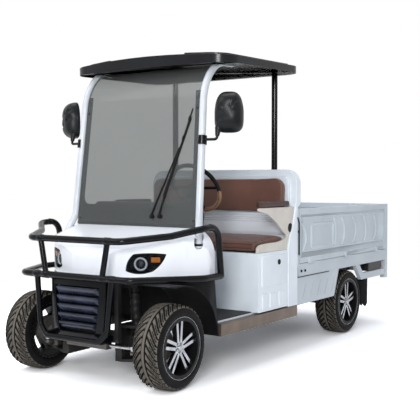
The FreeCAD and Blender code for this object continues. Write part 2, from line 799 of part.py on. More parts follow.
def cowl_block(inset):
    """Solid nose form: plan, side and front outlines, inset by a wall thickness."""
    inset = float(inset)
    front = float(station(d.cowl_front)) + inset
    rear = float(station(d.cowl_rear))
    low = float(d.cowl_low) - (40 if inset else 0)
    plan = nose_plan(inset, low, 500)
    x = -float(d.body_half) - 20
    top = float(d.cowl_top) - inset
    brow = float(d.cowl_brow) - inset
    back = rear + (60 if inset else 0.01)
    side = [
        Part.LineSegment(vec(x, front, low), vec(x, front + 6, brow - 82)).toShape(),
        Part.Arc(vec(x, front + 6, brow - 82), vec(x, front + 30, brow - 26), vec(x, front + 90, brow)).toShape(),
        Part.LineSegment(vec(x, front + 90, brow), vec(x, rear, top)).toShape(),
        Part.LineSegment(vec(x, rear, top), vec(x, back, top)).toShape(),
        Part.LineSegment(vec(x, back, top), vec(x, back, low)).toShape(),
        Part.LineSegment(vec(x, back, low), vec(x, front, low)).toShape(),
    ]
    profile = Part.Face(Part.Wire(side)).extrude(vec(-2 * x, 0, 0))
    half = float(d.body_half - d.cowl_inset) - inset
    corner = float(d.cowl_corner) - inset
    slope = (top - brow) / (rear - front - 90)
    start = front - 20
    high = brow - slope * 110
    bottom = low - 200
    diagonal = corner * math.sqrt(0.5)
    across = [
        Part.LineSegment(vec(-half, start, bottom), vec(half, start, bottom)).toShape(),
        Part.LineSegment(vec(half, start, bottom), vec(half, start, high - corner)).toShape(),
        Part.Arc(vec(half, start, high - corner),
                 vec(half - corner + diagonal, start, high - corner + diagonal),
                 vec(half - corner, start, high)).toShape(),
        Part.LineSegment(vec(half - corner, start, high), vec(corner - half, start, high)).toShape(),
        Part.Arc(vec(corner - half, start, high),
                 vec(corner - half - diagonal, start, high - corner + diagonal),
                 vec(-half, start, high - corner)).toShape(),
        Part.LineSegment(vec(-half, start, high - corner), vec(-half, start, bottom)).toShape(),
    ]
    reach = back - start
    rolled = Part.Face(Part.Wire(across)).extrude(vec(0, reach, reach * slope))
    return plan.common(profile).common(rolled)


def lamp_outline(scale, y, depth):
    """Slanted teardrop lamp window on the driver's side, pushed along Y."""
    cx = float(d.lamp_x)
    cz = float(d.lamp_z)
    corners = [(-90, -40), (42, -41), (98, 54), (-50, 54)]
    points = [vec(cx + a * scale, y, cz + b * scale) for a, b in corners]
    low = vec(cx - 30 * scale, y, cz - 56 * scale)
    right = vec(cx + 78 * scale, y, cz + 2 * scale)
    high = vec(cx + 35 * scale, y, cz + 60 * scale)
    left = vec(cx - 80 * scale, y, cz + 12 * scale)
    edges = [
        Part.Arc(points[0], low, points[1]).toShape(),
        Part.Arc(points[1], right, points[2]).toShape(),
        Part.Arc(points[2], high, points[3]).toShape(),
        Part.Arc(points[3], left, points[0]).toShape(),
    ]
    return Part.Face(Part.Wire(edges)).extrude(vec(0, depth, 0))


def mirror_shape(shape):
    return shape.mirror(vec(0, 0, 0), vec(1, 0, 0))


cowl_outer = cowl_block(0)
cowl_solid = cowl_outer.cut(cowl_block(d.skin + 1))
lamp_start = float(station(-260))
lamp_cut = lamp_outline(1.0, lamp_start, 420)
lens_cut = lamp_outline(0.985, lamp_start, 420)
lens = cowl_solid.common(lens_cut)
keep(shape_feature("lenses", Part.makeCompound([lens, mirror_shape(lens)])), "headlamp_lenses")
bucket = lamp_outline(0.985, lamp_start, 420).common(cowl_block(d.skin + 1.4)).cut(
    lamp_outline(0.93, lamp_start, 420).common(cowl_block(d.skin + 1.2)).common(
        Part.makeBox(1300, 330, 900, vec(-650, lamp_start, 300))))
bucket = bucket.common(Part.makeBox(1300, 420, 900, vec(-650, lamp_start, 300)))
keep(shape_feature("lamp_buckets", Part.makeCompound([bucket, mirror_shape(bucket)])), "headlamp_buckets")


# Front fenders: a black apron under the cowl, its wheel arches and their liners.

arch_radius = float(d.fender_radius)
arch_z = float(d.tyre_radius)
apron_top = float(d.cowl_low - d.gap_fit)
apron_base = float(d.fender_low)
axle_y = float(station(0))


def arch_cylinder(radius, low_x, high_x):
    return Part.makeCylinder(radius, high_x - low_x, vec(low_x, axle_y, arch_z), vec(1, 0, 0))


def slanted_rear(shift, low, high):
    """Everything ahead of the rear edge, which leans forward towards the cowl."""
    foot = station(d.fender_rear_low) - shift
    head = station(d.cowl_rear) - shift
    lean = (float(head) - float(foot)) / (apron_top - apron_base)
    y_low = float(foot) + lean * (low - apron_base)
    y_high = float(foot) + lean * (high - apron_base)
    y_front = float(station(d.cowl_front)) - 80
    points = [vec(-700, y_front, low), vec(-700, y_low, low), vec(-700, y_high, high), vec(-700, y_front, high)]
    return Part.Face(Part.makePolygon(points + [points[0]])).extrude(vec(1400, 0, 0))


def front_apron():
    height = apron_top - apron_base
    wall = float(d.apron_wall)
    inner_x = float(d.arch_inner)
    outer_x = float(d.body_half - d.cowl_inset) - wall
    shell = nose_plan(0, apron_base, height)
    tail = Part.makeBox(2 * (outer_x + wall), 60, height, vec(-(outer_x + wall), station(d.cowl_rear), apron_base))
    shell = shell.fuse(tail).removeSplitter().cut(nose_plan(wall, apron_base - 1, height + 2))
    shell = shell.common(slanted_rear(0, apron_base, apron_top))
    low_front = Part.makeBox(1400, 400, float(d.apron_low) - apron_base + 1,
                             vec(-700, axle_y - 400, apron_base - 1))
    shell = shell.cut(low_front)
    parts = []
    for low_x, high_x in ((inner_x, 700.0), (-700.0, -inner_x)):
        shell = shell.cut(arch_cylinder(arch_radius, low_x, high_x))
    for low_x, high_x in ((inner_x, outer_x + 1), (-outer_x - 1, -inner_x)):
        liner = arch_cylinder(arch_radius + wall, low_x, high_x).cut(arch_cylinder(arch_radius, low_x, high_x))
        window = Part.makeBox(1400, 700, 600, vec(-700, axle_y - 60, apron_base))
        parts.append(liner.common(window).common(slanted_rear(0.5, apron_base, apron_base + 600)))
    return shell.fuse(parts).removeSplitter()


keep(shape_feature("apron", front_apron()), "front_fenders")


# Grille: five slanted louvres between two cheeks, open behind.

grille_parts = []
pitch = (d.grille_high - d.grille_low) / d.louvres
for number in range(int(float(d.louvres))):
    z = d.grille_low + pitch * number
    grille_parts.append(panel("louvre" + str(number), "yz", -d.grille_half, d.grille_half * 2, [
        (station(d.grille_front), z + 8), (station(d.grille_front), z + 20),
        (station(d.grille_front) + 46, z + pitch - 2), (station(d.grille_front) + 50, z + pitch - 2),
        (station(d.grille_front) + 50, z + 8)]))
for number, x in enumerate((-d.grille_half - d.grille_cheek, d.grille_half)):
    grille_parts.append(block("grille_cheek" + str(number), (x, x + d.grille_cheek),
                              (station(d.grille_front), station(d.grille_front) + d.grille_depth),
                              (d.grille_low, d.grille_high)))
grille_parts.append(block("grille_top", (-(d.grille_half + d.grille_cheek), d.grille_half + d.grille_cheek),
                          (station(d.grille_front) + 6, station(d.grille_front) + d.grille_depth),
                          (d.grille_high - 4, d.bar_low - d.bar_radius - 4)))
grille_parts.append(block("grille_bracket", (-d.grille_half, d.grille_half),
                          (station(d.grille_front) + 50, station(d.rail_front)),
                          (d.rail_high - 50, d.rail_high)))
keep(fuse("grille_all", grille_parts), "grille")


# Bull bar: gloss tube wrapped round the nose, with uprights and a low hoop.

front_y = station(d.bar_front)
top_left = [
    (0, front_y, d.bar_high), (d.bar_corner_x, front_y, d.bar_high),
    (d.bar_side_x - 128, station(6), d.bar_high + 22), (d.bar_side_x, station(124), d.bar_high + 60),
    (d.bar_side_x, station(277), d.bar_high + 70), (d.bar_side_x, station(d.bar_end_at), d.bar_low - 8),
]
low_left = [
    (0, front_y, d.bar_low), (d.bar_low_corner_x, front_y, d.bar_low),
    (d.bar_side_x - 64, station(30), d.bar_low - 6), (d.bar_side_x, station(140), d.bar_low - 8),
    (d.bar_side_x, station(d.bar_end_at), d.bar_low - 8),
]
bar_shapes = []
for points, bends in ((top_left, (90, 120, 80, 80)), (low_left, (90, 120, 110))):
    bar_shapes.append(tube_shape(points, bends, d.bar_radius))
    bar_shapes.append(tube_shape(flip(points), bends, d.bar_radius))
for sign in (1, -1):
    bar_shapes.append(Part.makeSphere(float(d.bar_radius), vec(d.bar_side_x * sign, station(d.bar_end_at), d.bar_low - 8)))
    bar_shapes.append(tube_shape([(250 * sign, front_y, d.bar_high), (210 * sign, front_y, d.bar_low)], (),
                                 d.hoop_radius))
hoop = [(278, front_y, d.bar_low), (250, front_y - 4, d.hoop_low + 56), (192, front_y - 14, d.hoop_low)]
hoop = hoop + [(-x, y, z) for x, y, z in reversed(hoop)]
bar_shapes.append(tube_shape(hoop, (50, 40, 40, 50), d.hoop_radius))
for sign in (1, -1):
    bracket = Part.makeBox(30, float(d.rail_front - d.bar_front) + 14 - float(d.gap_fit), 36,
                           vec(d.rail_x * sign - 15, front_y - 14, d.rail_low + 2))
    bar_shapes.append(bracket)
bull = bar_shapes[0].fuse(bar_shapes[1:])
keep(shape_feature("bull_bar_tubes", bull), "bull_bar")


# Windscreen sheet, its two side struts and the moulded roof.

cowl_slope = (d.cowl_top - d.cowl_brow) / (d.cowl_rear - d.cowl_front - 90)


def cowl_top_at(distance):
    """Height of the cowl's top behind its brow."""
    return d.cowl_top - (d.cowl_rear - distance) * cowl_slope


screen_foot_z = cowl_top_at(d.screen_foot + d.screen_thick) + d.gap_fit + d.screen_thick * 0.21


def screen_at(share):
    """Distance behind the axle and height of the screen's front face, from its foot to its knee."""
    back = d.screen_foot + (d.screen_knee - d.screen_foot) * share
    return station(back), screen_foot_z + (d.screen_knee_z - screen_foot_z) * share


def screen_half(share):
    return d.screen_foot_half + (d.screen_knee_half - d.screen_foot_half) * share


lip_z = d.roof_low + 24
screen_foot_point = vec(0, *screen_at(0))
screen_knee_point = vec(0, *screen_at(1))
screen_lip_point = vec(0, station(d.screen_lip), lip_z)
screen_up = (screen_knee_point - screen_foot_point).normalize()
screen_over = (screen_lip_point - screen_knee_point).normalize()
screen_back = vec(0, screen_up.z, -screen_up.y)


def screen_shape():
    """Flat sheet that rolls back at its knee, narrower towards the top."""
    radius = float(d.screen_roll)
    thick = float(d.screen_thick)
    reach = radius * math.tan(screen_up.getAngle(screen_over) / 2)
    under = vec(0, screen_over.z, -screen_over.y)
    first = screen_knee_point - screen_up * reach
    second = screen_knee_point + screen_over * reach
    end = second + screen_over * float(d.screen_lip_run)
    centre = first + screen_back * radius
    halfway = (screen_knee_point - centre).normalize()
    foot = screen_foot_point
    edges = [
        Part.LineSegment(foot, first).toShape(),
        Part.Arc(first, centre + halfway * radius, second).toShape(),
        Part.LineSegment(second, end).toShape(),
        Part.LineSegment(end, end + under * thick).toShape(),
        Part.LineSegment(end + under * thick, second + under * thick).toShape(),
        Part.Arc(second + under * thick, centre + halfway * (radius - thick), first + screen_back * thick).toShape(),
        Part.LineSegment(first + screen_back * thick, foot + screen_back * thick).toShape(),
        Part.LineSegment(foot + screen_back * thick, foot).toShape(),
    ]
    sheet_solid = Part.Face(Part.Wire(edges)).extrude(vec(1200, 0, 0))
    sheet_solid.translate(vec(-600, 0, 0))
    low_z = float(screen_foot_z) - 5
    high_z = float(d.screen_knee_z) + 140
    rise = float(d.screen_knee_z - screen_foot_z)
    low_half = float(screen_half(0)) + (float(screen_half(0)) - float(screen_half(1))) * 5 / rise
    high_half = float(screen_half(1)) - (float(screen_half(0)) - float(screen_half(1))) * 140 / rise
    y = station(d.screen_foot) - 50
    outline = [vec(-low_half, y, low_z), vec(low_half, y, low_z), vec(high_half, y, high_z), vec(-high_half, y, high_z)]
    return sheet_solid.common(Part.Face(Part.makePolygon(outline + [outline[0]])).extrude(vec(0, 500, 0)))


keep(shape_feature("screen_sheet", screen_shape()), "windscreen")


def strut_point(share):
    """Strut centre beside the screen's edge."""
    y, z = screen_at(share)
    return screen_half(share) + d.strut_radius + 0.6, y + d.screen_thick / 2, z


strut_low = strut_point(0.065)
strut_knee = strut_point(1)
strut_foot = (d.strut_foot_x, station(d.strut_foot_at), d.shelf_top + 12)
strut_path = [
    strut_foot, strut_low, strut_knee, (strut_knee[0] + 2, station(d.screen_lip) + 4, lip_z),
    (d.post_x, station(660), lip_z),
]
strut_bends = (140, d.screen_roll - d.screen_thick / 2, 150)
strut_tube = tube_shape(strut_path, strut_bends, d.strut_radius)
strut_tube = strut_tube.cut(Part.makeBox(200, 60, 100, vec(d.post_x - 100, station(639.7), lip_z - 50)))
strut_cup = Part.makeCylinder(float(d.strut_radius) + 4, 26,
                              vec(d.strut_foot_x, station(d.strut_foot_at), d.shelf_top + d.gap_fit), vec(0, 0, 1))
strut_hole = tube_shape(strut_path, strut_bends, d.strut_radius + 6)
slot_way = FreeCAD.Rotation(vec(0, 0, 1), 35).multVec(vec(0, -1, 0))
slot_side = slot_way.cross(vec(0, 0, 1))


def strut_slot():
    """Tall oval opening in the cowl's shoulder that shows the strut's foot."""
    half = float(d.slot_half)
    low = vec(d.strut_foot_x, station(d.strut_foot_at), d.shelf_top + 34)
    high = low + vec(0, 0, 34)
    corners = [low - slot_side * half, low + slot_side * half, high + slot_side * half, high - slot_side * half]
    middle = Part.Face(Part.makePolygon(corners + [corners[0]])).extrude(slot_way * 160)
    ends = [Part.makeCylinder(half, 160, point, slot_way) for point in (low, high)]
    return middle.fuse(ends).removeSplitter()


foot_slot = strut_slot()
openings = [lamp_cut, strut_hole, foot_slot]
cowl_open = cowl_solid.cut(openings + [mirror_shape(item) for item in openings])
keep(shape_feature("cowl_skin", cowl_open), "cowl")
keep(both("struts", shape_feature("strut_left", strut_tube.fuse(strut_cup).removeSplitter())), "screen_struts")


def roof_block(inset):
    """Crowned roof form with rounded corners and a bowed front edge."""
    inset = float(inset)
    half = float(d.body_half) - inset
    front = float(station(d.roof_front)) + inset
    rear = float(station(d.roof_rear)) - inset
    corner = float(d.roof_corner)
    low = float(d.roof_low)
    edge = low + float(d.roof_edge) - inset
    crown = float(d.roof_crown)
    shoulder = front + float(d.roof_bow)
    edges = [
        Part.Arc(vec(-half + corner, shoulder, low), vec(0, front, low), vec(half - corner, shoulder, low)).toShape(),
        Part.Arc(vec(half - corner, shoulder, low), vec(half - corner * 0.26, shoulder + corner * 0.34, low),
                 vec(half, shoulder + corner, low)).toShape(),
        Part.LineSegment(vec(half, shoulder + corner, low), vec(half, rear - corner, low)).toShape(),
        Part.Arc(vec(half, rear - corner, low), vec(half - corner * 0.293, rear - corner * 0.293, low),
                 vec(half - corner, rear, low)).toShape(),
        Part.LineSegment(vec(half - corner, rear, low), vec(-half + corner, rear, low)).toShape(),
        Part.Arc(vec(-half + corner, rear, low), vec(-half + corner * 0.293, rear - corner * 0.293, low),
                 vec(-half, rear - corner, low)).toShape(),
        Part.LineSegment(vec(-half, rear - corner, low), vec(-half, shoulder + corner, low)).toShape(),
        Part.Arc(vec(-half, shoulder + corner, low), vec(-half + corner * 0.26, shoulder + corner * 0.34, low),
                 vec(-half + corner, shoulder, low)).toShape(),
    ]
    plan = Part.Face(Part.Wire(edges)).extrude(vec(0, 0, 200))
    x0 = -float(d.body_half) - 10
    x1 = -x0
    y0 = front - 10
    arch = [
        Part.LineSegment(vec(x0, y0, low - 20), vec(x1, y0, low - 20)).toShape(),
        Part.LineSegment(vec(x1, y0, low - 20), vec(x1, y0, edge)).toShape(),
        Part.Arc(vec(x1, y0, edge), vec(0, y0, edge + crown), vec(x0, y0, edge)).toShape(),
        Part.LineSegment(vec(x0, y0, edge), vec(x0, y0, low - 20)).toShape(),
    ]
    canopy = plan.common(Part.Face(Part.Wire(arch)).extrude(vec(0, rear - y0 + 40, 0)))
    return pitched(canopy)


def pitched(shape):
    """Turned up towards the rear about the roof's front lip."""
    turned = shape.copy()
    turned.rotate(vec(0, station(d.roof_front), d.roof_low), vec(1, 0, 0), float(d.roof_pitch))
    return turned


def pitch_rise(distance):
    return (float(distance) - float(d.roof_front)) * math.tan(math.radians(float(d.roof_pitch)))


shoulders = roof_block(40)
shoulders.translate(vec(0, 0, 40 + float(d.roof_shoulder_up)))
for low_x, high_x in ((-700, -float(d.roof_shoulder_out)), (-float(d.roof_shoulder_in), float(d.roof_shoulder_in)),
                      (float(d.roof_shoulder_out), 700)):
    shoulders = shoulders.cut(Part.makeBox(high_x - low_x, 1600, 400, vec(low_x, station(0), d.roof_low - 50)))
shoulders = shoulders.common(pitched(Part.makeBox(1400, 1600, 300, vec(-700, station(0), d.roof_low + d.roof_edge - 4))))
roof = roof_block(0).fuse(shoulders).cut(roof_block(d.roof_wall)).removeSplitter()
keep(shape_feature("roof_skin", roof), "roof")

roof_arc = ((d.body_half + 10) * (d.body_half + 10) + d.roof_crown * d.roof_crown) / (d.roof_crown * 2)


def roof_ceiling(x):
    """Height of the roof's inner face at a distance from the middle."""
    drop = float(roof_arc) - math.sqrt(float(roof_arc) ** 2 - float(x) ** 2)
    return float(d.roof_low + d.roof_edge + d.roof_crown - d.roof_wall) - drop


rail_top = roof_ceiling(d.post_x + 18) - 0.5
rail_bottom = rail_top - 34
rail_start = size(642)
rail_end = d.canopy_post_at + 20
ladder_parts = []
for name, x in on_both_sides("roof_rail", d.post_x - 18, d.post_x + 18):
    ladder_parts.append(block(name, x, (station(rail_start), station(rail_end)), (rail_bottom, rail_top)))
for number, at in enumerate((size(700), d.canopy_post_at - 15)):
    ladder_parts.append(block("roof_bow" + str(number), (-(d.post_x - 18), d.post_x - 18),
                              (station(at), station(at) + 30), (rail_bottom, rail_top)))
ladder = fuse("roof_ladder", ladder_parts)
doc.recompute()
frame_parts = [shape_feature("roof_ladder_pitched", pitched(ladder.Shape))]
post_rise = rail_bottom + pitch_rise(d.canopy_post_at) + 5 - float(d.arch_high + d.gap_fit)
for name, x in (("post_left", d.canopy_post_x), ("post_right", -d.canopy_post_x)):
    frame_parts.append(rod(name, "z", (x, station(d.canopy_post_at), d.arch_high + d.gap_fit), d.post_radius,
                           post_rise))
keep(fuse("roof_frame_all", frame_parts), "roof_frame")


# Dashboard, steering column and wheel.

dash = panel("dash_body", "yz", -d.dash_half, d.dash_half * 2, [
    (station(d.dash_front), d.dash_low + 20), (station(d.dash_front), d.cowl_top - 6),
    (station(d.dash_front) + 40, d.dash_high - 26), (station(d.dash_front) + 66, d.dash_high),
    (station(d.dash_front) + 135, d.dash_high),
    (station(d.dash_front) + d.dash_deep, d.dash_high - 62),
    (station(d.dash_front) + d.dash_deep, d.dash_high - 90),
    (station(d.dash_front) + 171, d.dash_low), (station(d.dash_front) + 11, d.dash_low)])
keep(dash, "dashboard")

lean = math.radians(float(d.wheel_lean))
hub = vec(d.wheel_x, station(d.wheel_at), d.wheel_z)
axis = vec(0, -math.cos(lean), -math.sin(lean))


def steering_wheel():
    shape = Part.makeTorus(float(d.steering_radius), float(d.steering_grip), hub, axis)
    shape = shape.fuse(Part.makeCylinder(44, 26, hub - axis * 6, axis))
    side = vec(1, 0, 0)
    up = axis.cross(side)
    for angle in (0, 180, 270):
        turn = math.radians(angle)
        way = side * math.cos(turn) + up * math.sin(turn)
        spoke = Part.makeCylinder(9, float(d.steering_radius) - 30, hub + way * 30, way)
        shape = shape.fuse(spoke)
    return shape.removeSplitter()


keep(shape_feature("steering_wheel_all", steering_wheel()), "steering_wheel")
column = Part.makeCylinder(24, 240, hub + axis * 20.5, axis)
doc.recompute()
column = column.cut(dash.Shape)
keep(shape_feature("steering_column_all", column), "steering_column")


# Seat: steel box with the battery pack inside, cushion, back and the white arch.

box_half = d.body_half - 8
seat_outer = block("seat_outer", (-box_half, box_half), (station(d.seat_box_front), station(d.seat_box_rear)),
                   (d.floor_high, d.seat_box_high))
seat_inner = block("seat_inner", (-(box_half - d.skin), box_half - d.skin),
                   (station(d.seat_box_front) + d.skin, station(d.seat_box_rear) + 5),
                   (d.floor_high - 5, d.seat_box_high - d.skin))
keep(cut("seat_box_all", seat_outer, [seat_inner]), "seat_box")
keep(block("battery_block", (-430, 430), (station(d.seat_box_front) + 40, station(d.seat_box_rear) - 20),
           (d.floor_high, d.floor_high + 240)), "battery_pack")
keep(panel("cushion", "yz", -d.cushion_half, d.cushion_half * 2, [
    (station(d.cushion_front), d.seat_box_high + d.gap_fit), (station(d.cushion_front), d.cushion_high - 46),
    (station(d.cushion_front) + 34, d.cushion_high - 30), (station(d.cushion_rear) - 70, d.cushion_high),
    (station(d.cushion_rear), d.cushion_high - 14), (station(d.cushion_rear), d.seat_box_high + d.gap_fit)]),
    "seat_cushion")

arch_out = d.body_half - 2
arch_gap = arch_out - d.arch_band


def arch_form(name, start, depth, half, low, high, corner):
    """Front view of the arch, rounded at its top corners."""
    return panel(name, "xz", start, depth, [(-half, low), (half, low), (half, high), (-half, high)],
                 [(corner, lambda e: runs_along("y")(e) and e.CenterOfMass.z > float(high) - 5)])


arch_start = station(d.arch_front)
arch_outer = arch_form("arch_outer", arch_start, d.hoop_rear - d.arch_front, arch_out, d.sill_high + d.gap_fit,
                       d.arch_high, d.arch_corner)
arch_inner = arch_form("arch_inner", arch_start - 5, d.hoop_rear - d.arch_front + 10, arch_gap, d.sill_high - 20,
                       d.arch_high - d.arch_band, d.arch_corner - d.arch_band + 4)
arch_side = panel("arch_side", "yz", -d.body_half, d.body_half * 2, [
    (arch_start, d.sill_high), (arch_start, d.seat_box_high + 10), (arch_start + 20, d.seat_box_high + 70),
    (arch_start + 55, d.seat_box_high + 130), (arch_start + 88, d.seat_box_high + 230),
    (station(d.hoop_front) - 4, d.seat_box_high + 310), (station(d.hoop_front), d.arch_high + 5),
    (station(d.hoop_rear), d.arch_high + 5), (station(d.hoop_rear), d.side_high + 36),
    (station(d.arch_rear), d.side_high + 6), (station(d.arch_rear), d.sill_high)])
back_wall = block("back_wall", (-(arch_gap + 20), arch_gap + 20),
                  (station(d.back_wall_at), station(d.back_wall_at) + d.back_wall_thick),
                  (d.rear_rail_high + 2, d.arch_high))
doc.recompute()
hoop_shape = arch_outer.Shape.cut(arch_inner.Shape).common(arch_side.Shape)
wall_shape = back_wall.Shape.common(arch_inner.Shape)
seat_shelf = block("seat_shelf", (-arch_gap, arch_gap), (arch_start, station(d.back_wall_at) + 5),
                   (d.seat_box_high - 30, d.seat_box_high))
keep(fuse("arch_all", [shape_feature("arch_hoop", hoop_shape), shape_feature("arch_wall", wall_shape), seat_shelf]),
     "seat_arch")

back_half = arch_gap - 7
back_start = station(d.back_wall_at) - d.gap_fit - d.back_thick
keep(arch_form("back", back_start, d.back_thick, back_half, d.back_low, d.back_high, d.back_round), "seat_back")


def armrest(side, sign):
    """Moulded support: a plate under the pad and a lower branch to the seat box, met at the arch."""
    outer = float(d.body_half) - 14
    rear = float(station(d.arch_front))
    high = float(d.arm_pad_high) - 44
    foot = float(d.seat_box_high + d.gap_fit)
    outline = [
        (95.6, high), (-347, high), (-347, high - 18), (-330, high - 22), (-245, high - 40), (-180, high - 70),
        (-122, high - 102), (-70, high - 142), (-30, high - 166), (-4, high - 180), (-2, high - 190),
        (-30, high - 204), (-70, high - 214), (-122, high - 220), (-230, high - 220), (-289, high - 222),
        (-340, high - 228), (-362, high - 242), (-370, foot), (-0.4, foot), (-0.4, foot + 9.7),
        (19.6, foot + 69.7), (54.6, foot + 129.7), (87.6, foot + 229.7),
    ]
    points = [vec(outer - 18, rear + y, z) for y, z in outline]
    support = Part.Face(Part.makePolygon(points + [points[0]])).extrude(vec(18, 0, 0))
    top = Part.makeBox(46, 387, 44, vec(outer - 39, rear - 347, high + float(d.gap_fit)))
    top = top.makeFillet(12, [e for e in top.Edges if runs_along("z")(e) or
                              (e.CenterOfMass.z > high + 40 and not runs_along("z")(e))])
    if sign < 0:
        support = mirror_shape(support)
        top = mirror_shape(top)
    keep(shape_feature("armrest_carrier_" + side, support), "armrest_support_" + side)
    keep(shape_feature("armrest_soft_" + side, top), "armrest_pad_" + side)


armrest("left", 1)
armrest("right", -1)


# Cargo bed: flat floor, headboard, and three gates hinged at the floor line.

bed_parts = [
    block("bed_floor_plate", (-(d.body_half - 42), d.body_half - 42), (station(d.bed_front), station(d.bed_rear)),
          (d.bed_frame_high, d.bed_floor)),
    block("headboard", (-(d.body_half - 4), d.body_half - 4), (station(d.bed_front) - 18, station(d.bed_front)),
          (d.side_low - 30, d.side_high)),
    block("rear_member", (-(d.body_half - 46), d.body_half - 46), (station(d.bed_rear), station(d.bed_rear) + 27),
          (d.side_rail_low, d.side_low - 8)),
]
for name, x in on_both_sides("bed_rail", d.body_half - 42, d.body_half - 6):
    bed_parts.append(block(name, x, (station(d.bed_front), station(d.bed_rear)), (d.side_rail_low, d.side_low - 6)))
for name, x in on_both_sides("corner_post", d.body_half - 46, d.body_half - 6):
    bed_parts.append(block(name, x, (station(d.bed_rear), station(d.bed_rear) + d.post_depth),
                           (d.post_low, d.side_high)))
for name, x in on_both_sides("lamp_rail", d.body_half - 40, d.body_half - 10):
    bed_parts.append(block(name, x, (station(2290), station(d.bed_rear)), (d.post_low + 26, d.post_low + 74)))
for name, x in on_both_sides("flap_bracket", d.body_half - 40, d.body_half - 10):
    bed_parts.append(panel(name, "yz", x[0], x[1] - x[0], [
        (station(2178), d.side_rail_low + 4), (station(2250), d.side_rail_low + 4),
        (station(2364), d.post_low + 26), (station(2290), d.post_low + 26)]))

hinge_x = d.body_half + d.hinge_out
hinge_z = d.side_low - d.knuckle_radius
knuckle_length = 46
gate_front = station(d.bed_front) + 6
gate_rear = station(d.bed_rear) - 6
side_hinges = [gate_front + 120, gate_front + 680, gate_front + 1240]
RIBS = (1366, 1824, 1978, 2172, 2360, 2546)


def side_gate(side, sign):
    """Drop side with its hinge knuckles; the fixed knuckles and pins go to the bed."""
    inner = d.body_half - d.side_thick
    x = (inner, d.body_half) if sign > 0 else (-d.body_half, -inner)
    skin_in = d.body_half - d.side_thick / 2 - d.side_skin / 2
    skin_out = skin_in + d.side_skin
    skin = (skin_in, skin_out) if sign > 0 else (-skin_out, -skin_in)
    rib = (skin_out, skin_out + d.rib_proud) if sign > 0 else (-skin_out - d.rib_proud, -skin_out)
    parts = [
        block("gate_plate_" + side, skin, (gate_front, gate_rear), (d.side_low, d.side_high)),
        block("gate_top_" + side, x, (gate_front, gate_rear), (d.side_high - d.side_rail, d.side_high)),
        block("gate_foot_" + side, x, (gate_front, gate_rear), (d.side_low, d.side_low + 34)),
        block("gate_front_" + side, x, (gate_front, gate_front + 18), (d.side_low, d.side_high)),
        block("gate_rear_" + side, x, (gate_rear - 24, gate_rear), (d.side_low, d.side_high)),
    ]
    for number, at in enumerate(RIBS):
        parts.append(block("gate_rib_" + side + str(number), rib, (station(at), station(at) + d.rib_wide),
                           (d.rib_low, d.rib_high)))
    for number, y in enumerate(side_hinges):
        tag = side + str(number)
        centre = hinge_x * sign
        axis_line = (centre, y, hinge_z)
        low = centre - d.knuckle_radius if sign > 0 else centre
        moving = [rod("gate_knuckle_" + tag, "y", axis_line, d.knuckle_radius, knuckle_length),
                  block("gate_leaf_" + tag, (low, low + d.knuckle_radius) if sign > 0 else (low, low + d.knuckle_radius),
                        (y, y + knuckle_length), (hinge_z, d.side_low + 30))]
        bore = rod("gate_bore_" + tag, "y", (centre, y - 1, hinge_z), d.hinge_pin + d.shaft_fit, knuckle_length + 2)
        parts.append(cut("gate_hinge_" + tag, fuse("gate_hinge_body_" + tag, moving), [bore]))
        fixed_y = y + knuckle_length + 1
        bed_parts.append(rod("bed_knuckle_" + tag, "y", (centre, fixed_y, hinge_z), d.knuckle_radius, knuckle_length))
        bed_parts.append(rod("bed_pin_" + tag, "y", (centre, y, hinge_z), d.hinge_pin, knuckle_length + 2))
        inside = d.body_half - 10
        leaf_x = (inside, hinge_x) if sign > 0 else (-hinge_x, -inside)
        bed_parts.append(block("bed_leaf_" + tag, leaf_x, (fixed_y, fixed_y + knuckle_length),
                               (hinge_z - d.knuckle_radius, hinge_z)))
    keep(fuse("gate_all_" + side, parts), "side_gate_" + side)


side_gate("left", 1)
side_gate("right", -1)

tail_y = station(d.bed_rear) + 6
tail_hinge_y = tail_y + d.side_thick + d.hinge_out
tail_half = d.body_half - 52
tail_skin = tail_y + d.side_thick / 2 - d.side_skin / 2
tail_frame = (tail_y, tail_y + d.side_thick)
tail_parts = [
    block("tailgate_plate", (-tail_half, tail_half), (tail_skin, tail_skin + d.side_skin), (d.side_low, d.side_high)),
    block("tailgate_top", (-tail_half, tail_half), tail_frame, (d.side_high - d.side_rail, d.side_high)),
    block("tailgate_foot", (-tail_half, tail_half), tail_frame, (d.side_low, d.side_low + 34)),
    block("tailgate_end0", (-tail_half, -tail_half + 18), tail_frame, (d.side_low, d.side_high)),
    block("tailgate_end1", (tail_half - 18, tail_half), tail_frame, (d.side_low, d.side_high)),
]
for number, x in enumerate((-334, -122, 106, 318)):
    tail_parts.append(block("tailgate_rib" + str(number), (x, x + d.rib_wide),
                            (tail_skin + d.side_skin, tail_skin + d.side_skin + d.rib_proud),
                            (d.rib_low, d.rib_high)))
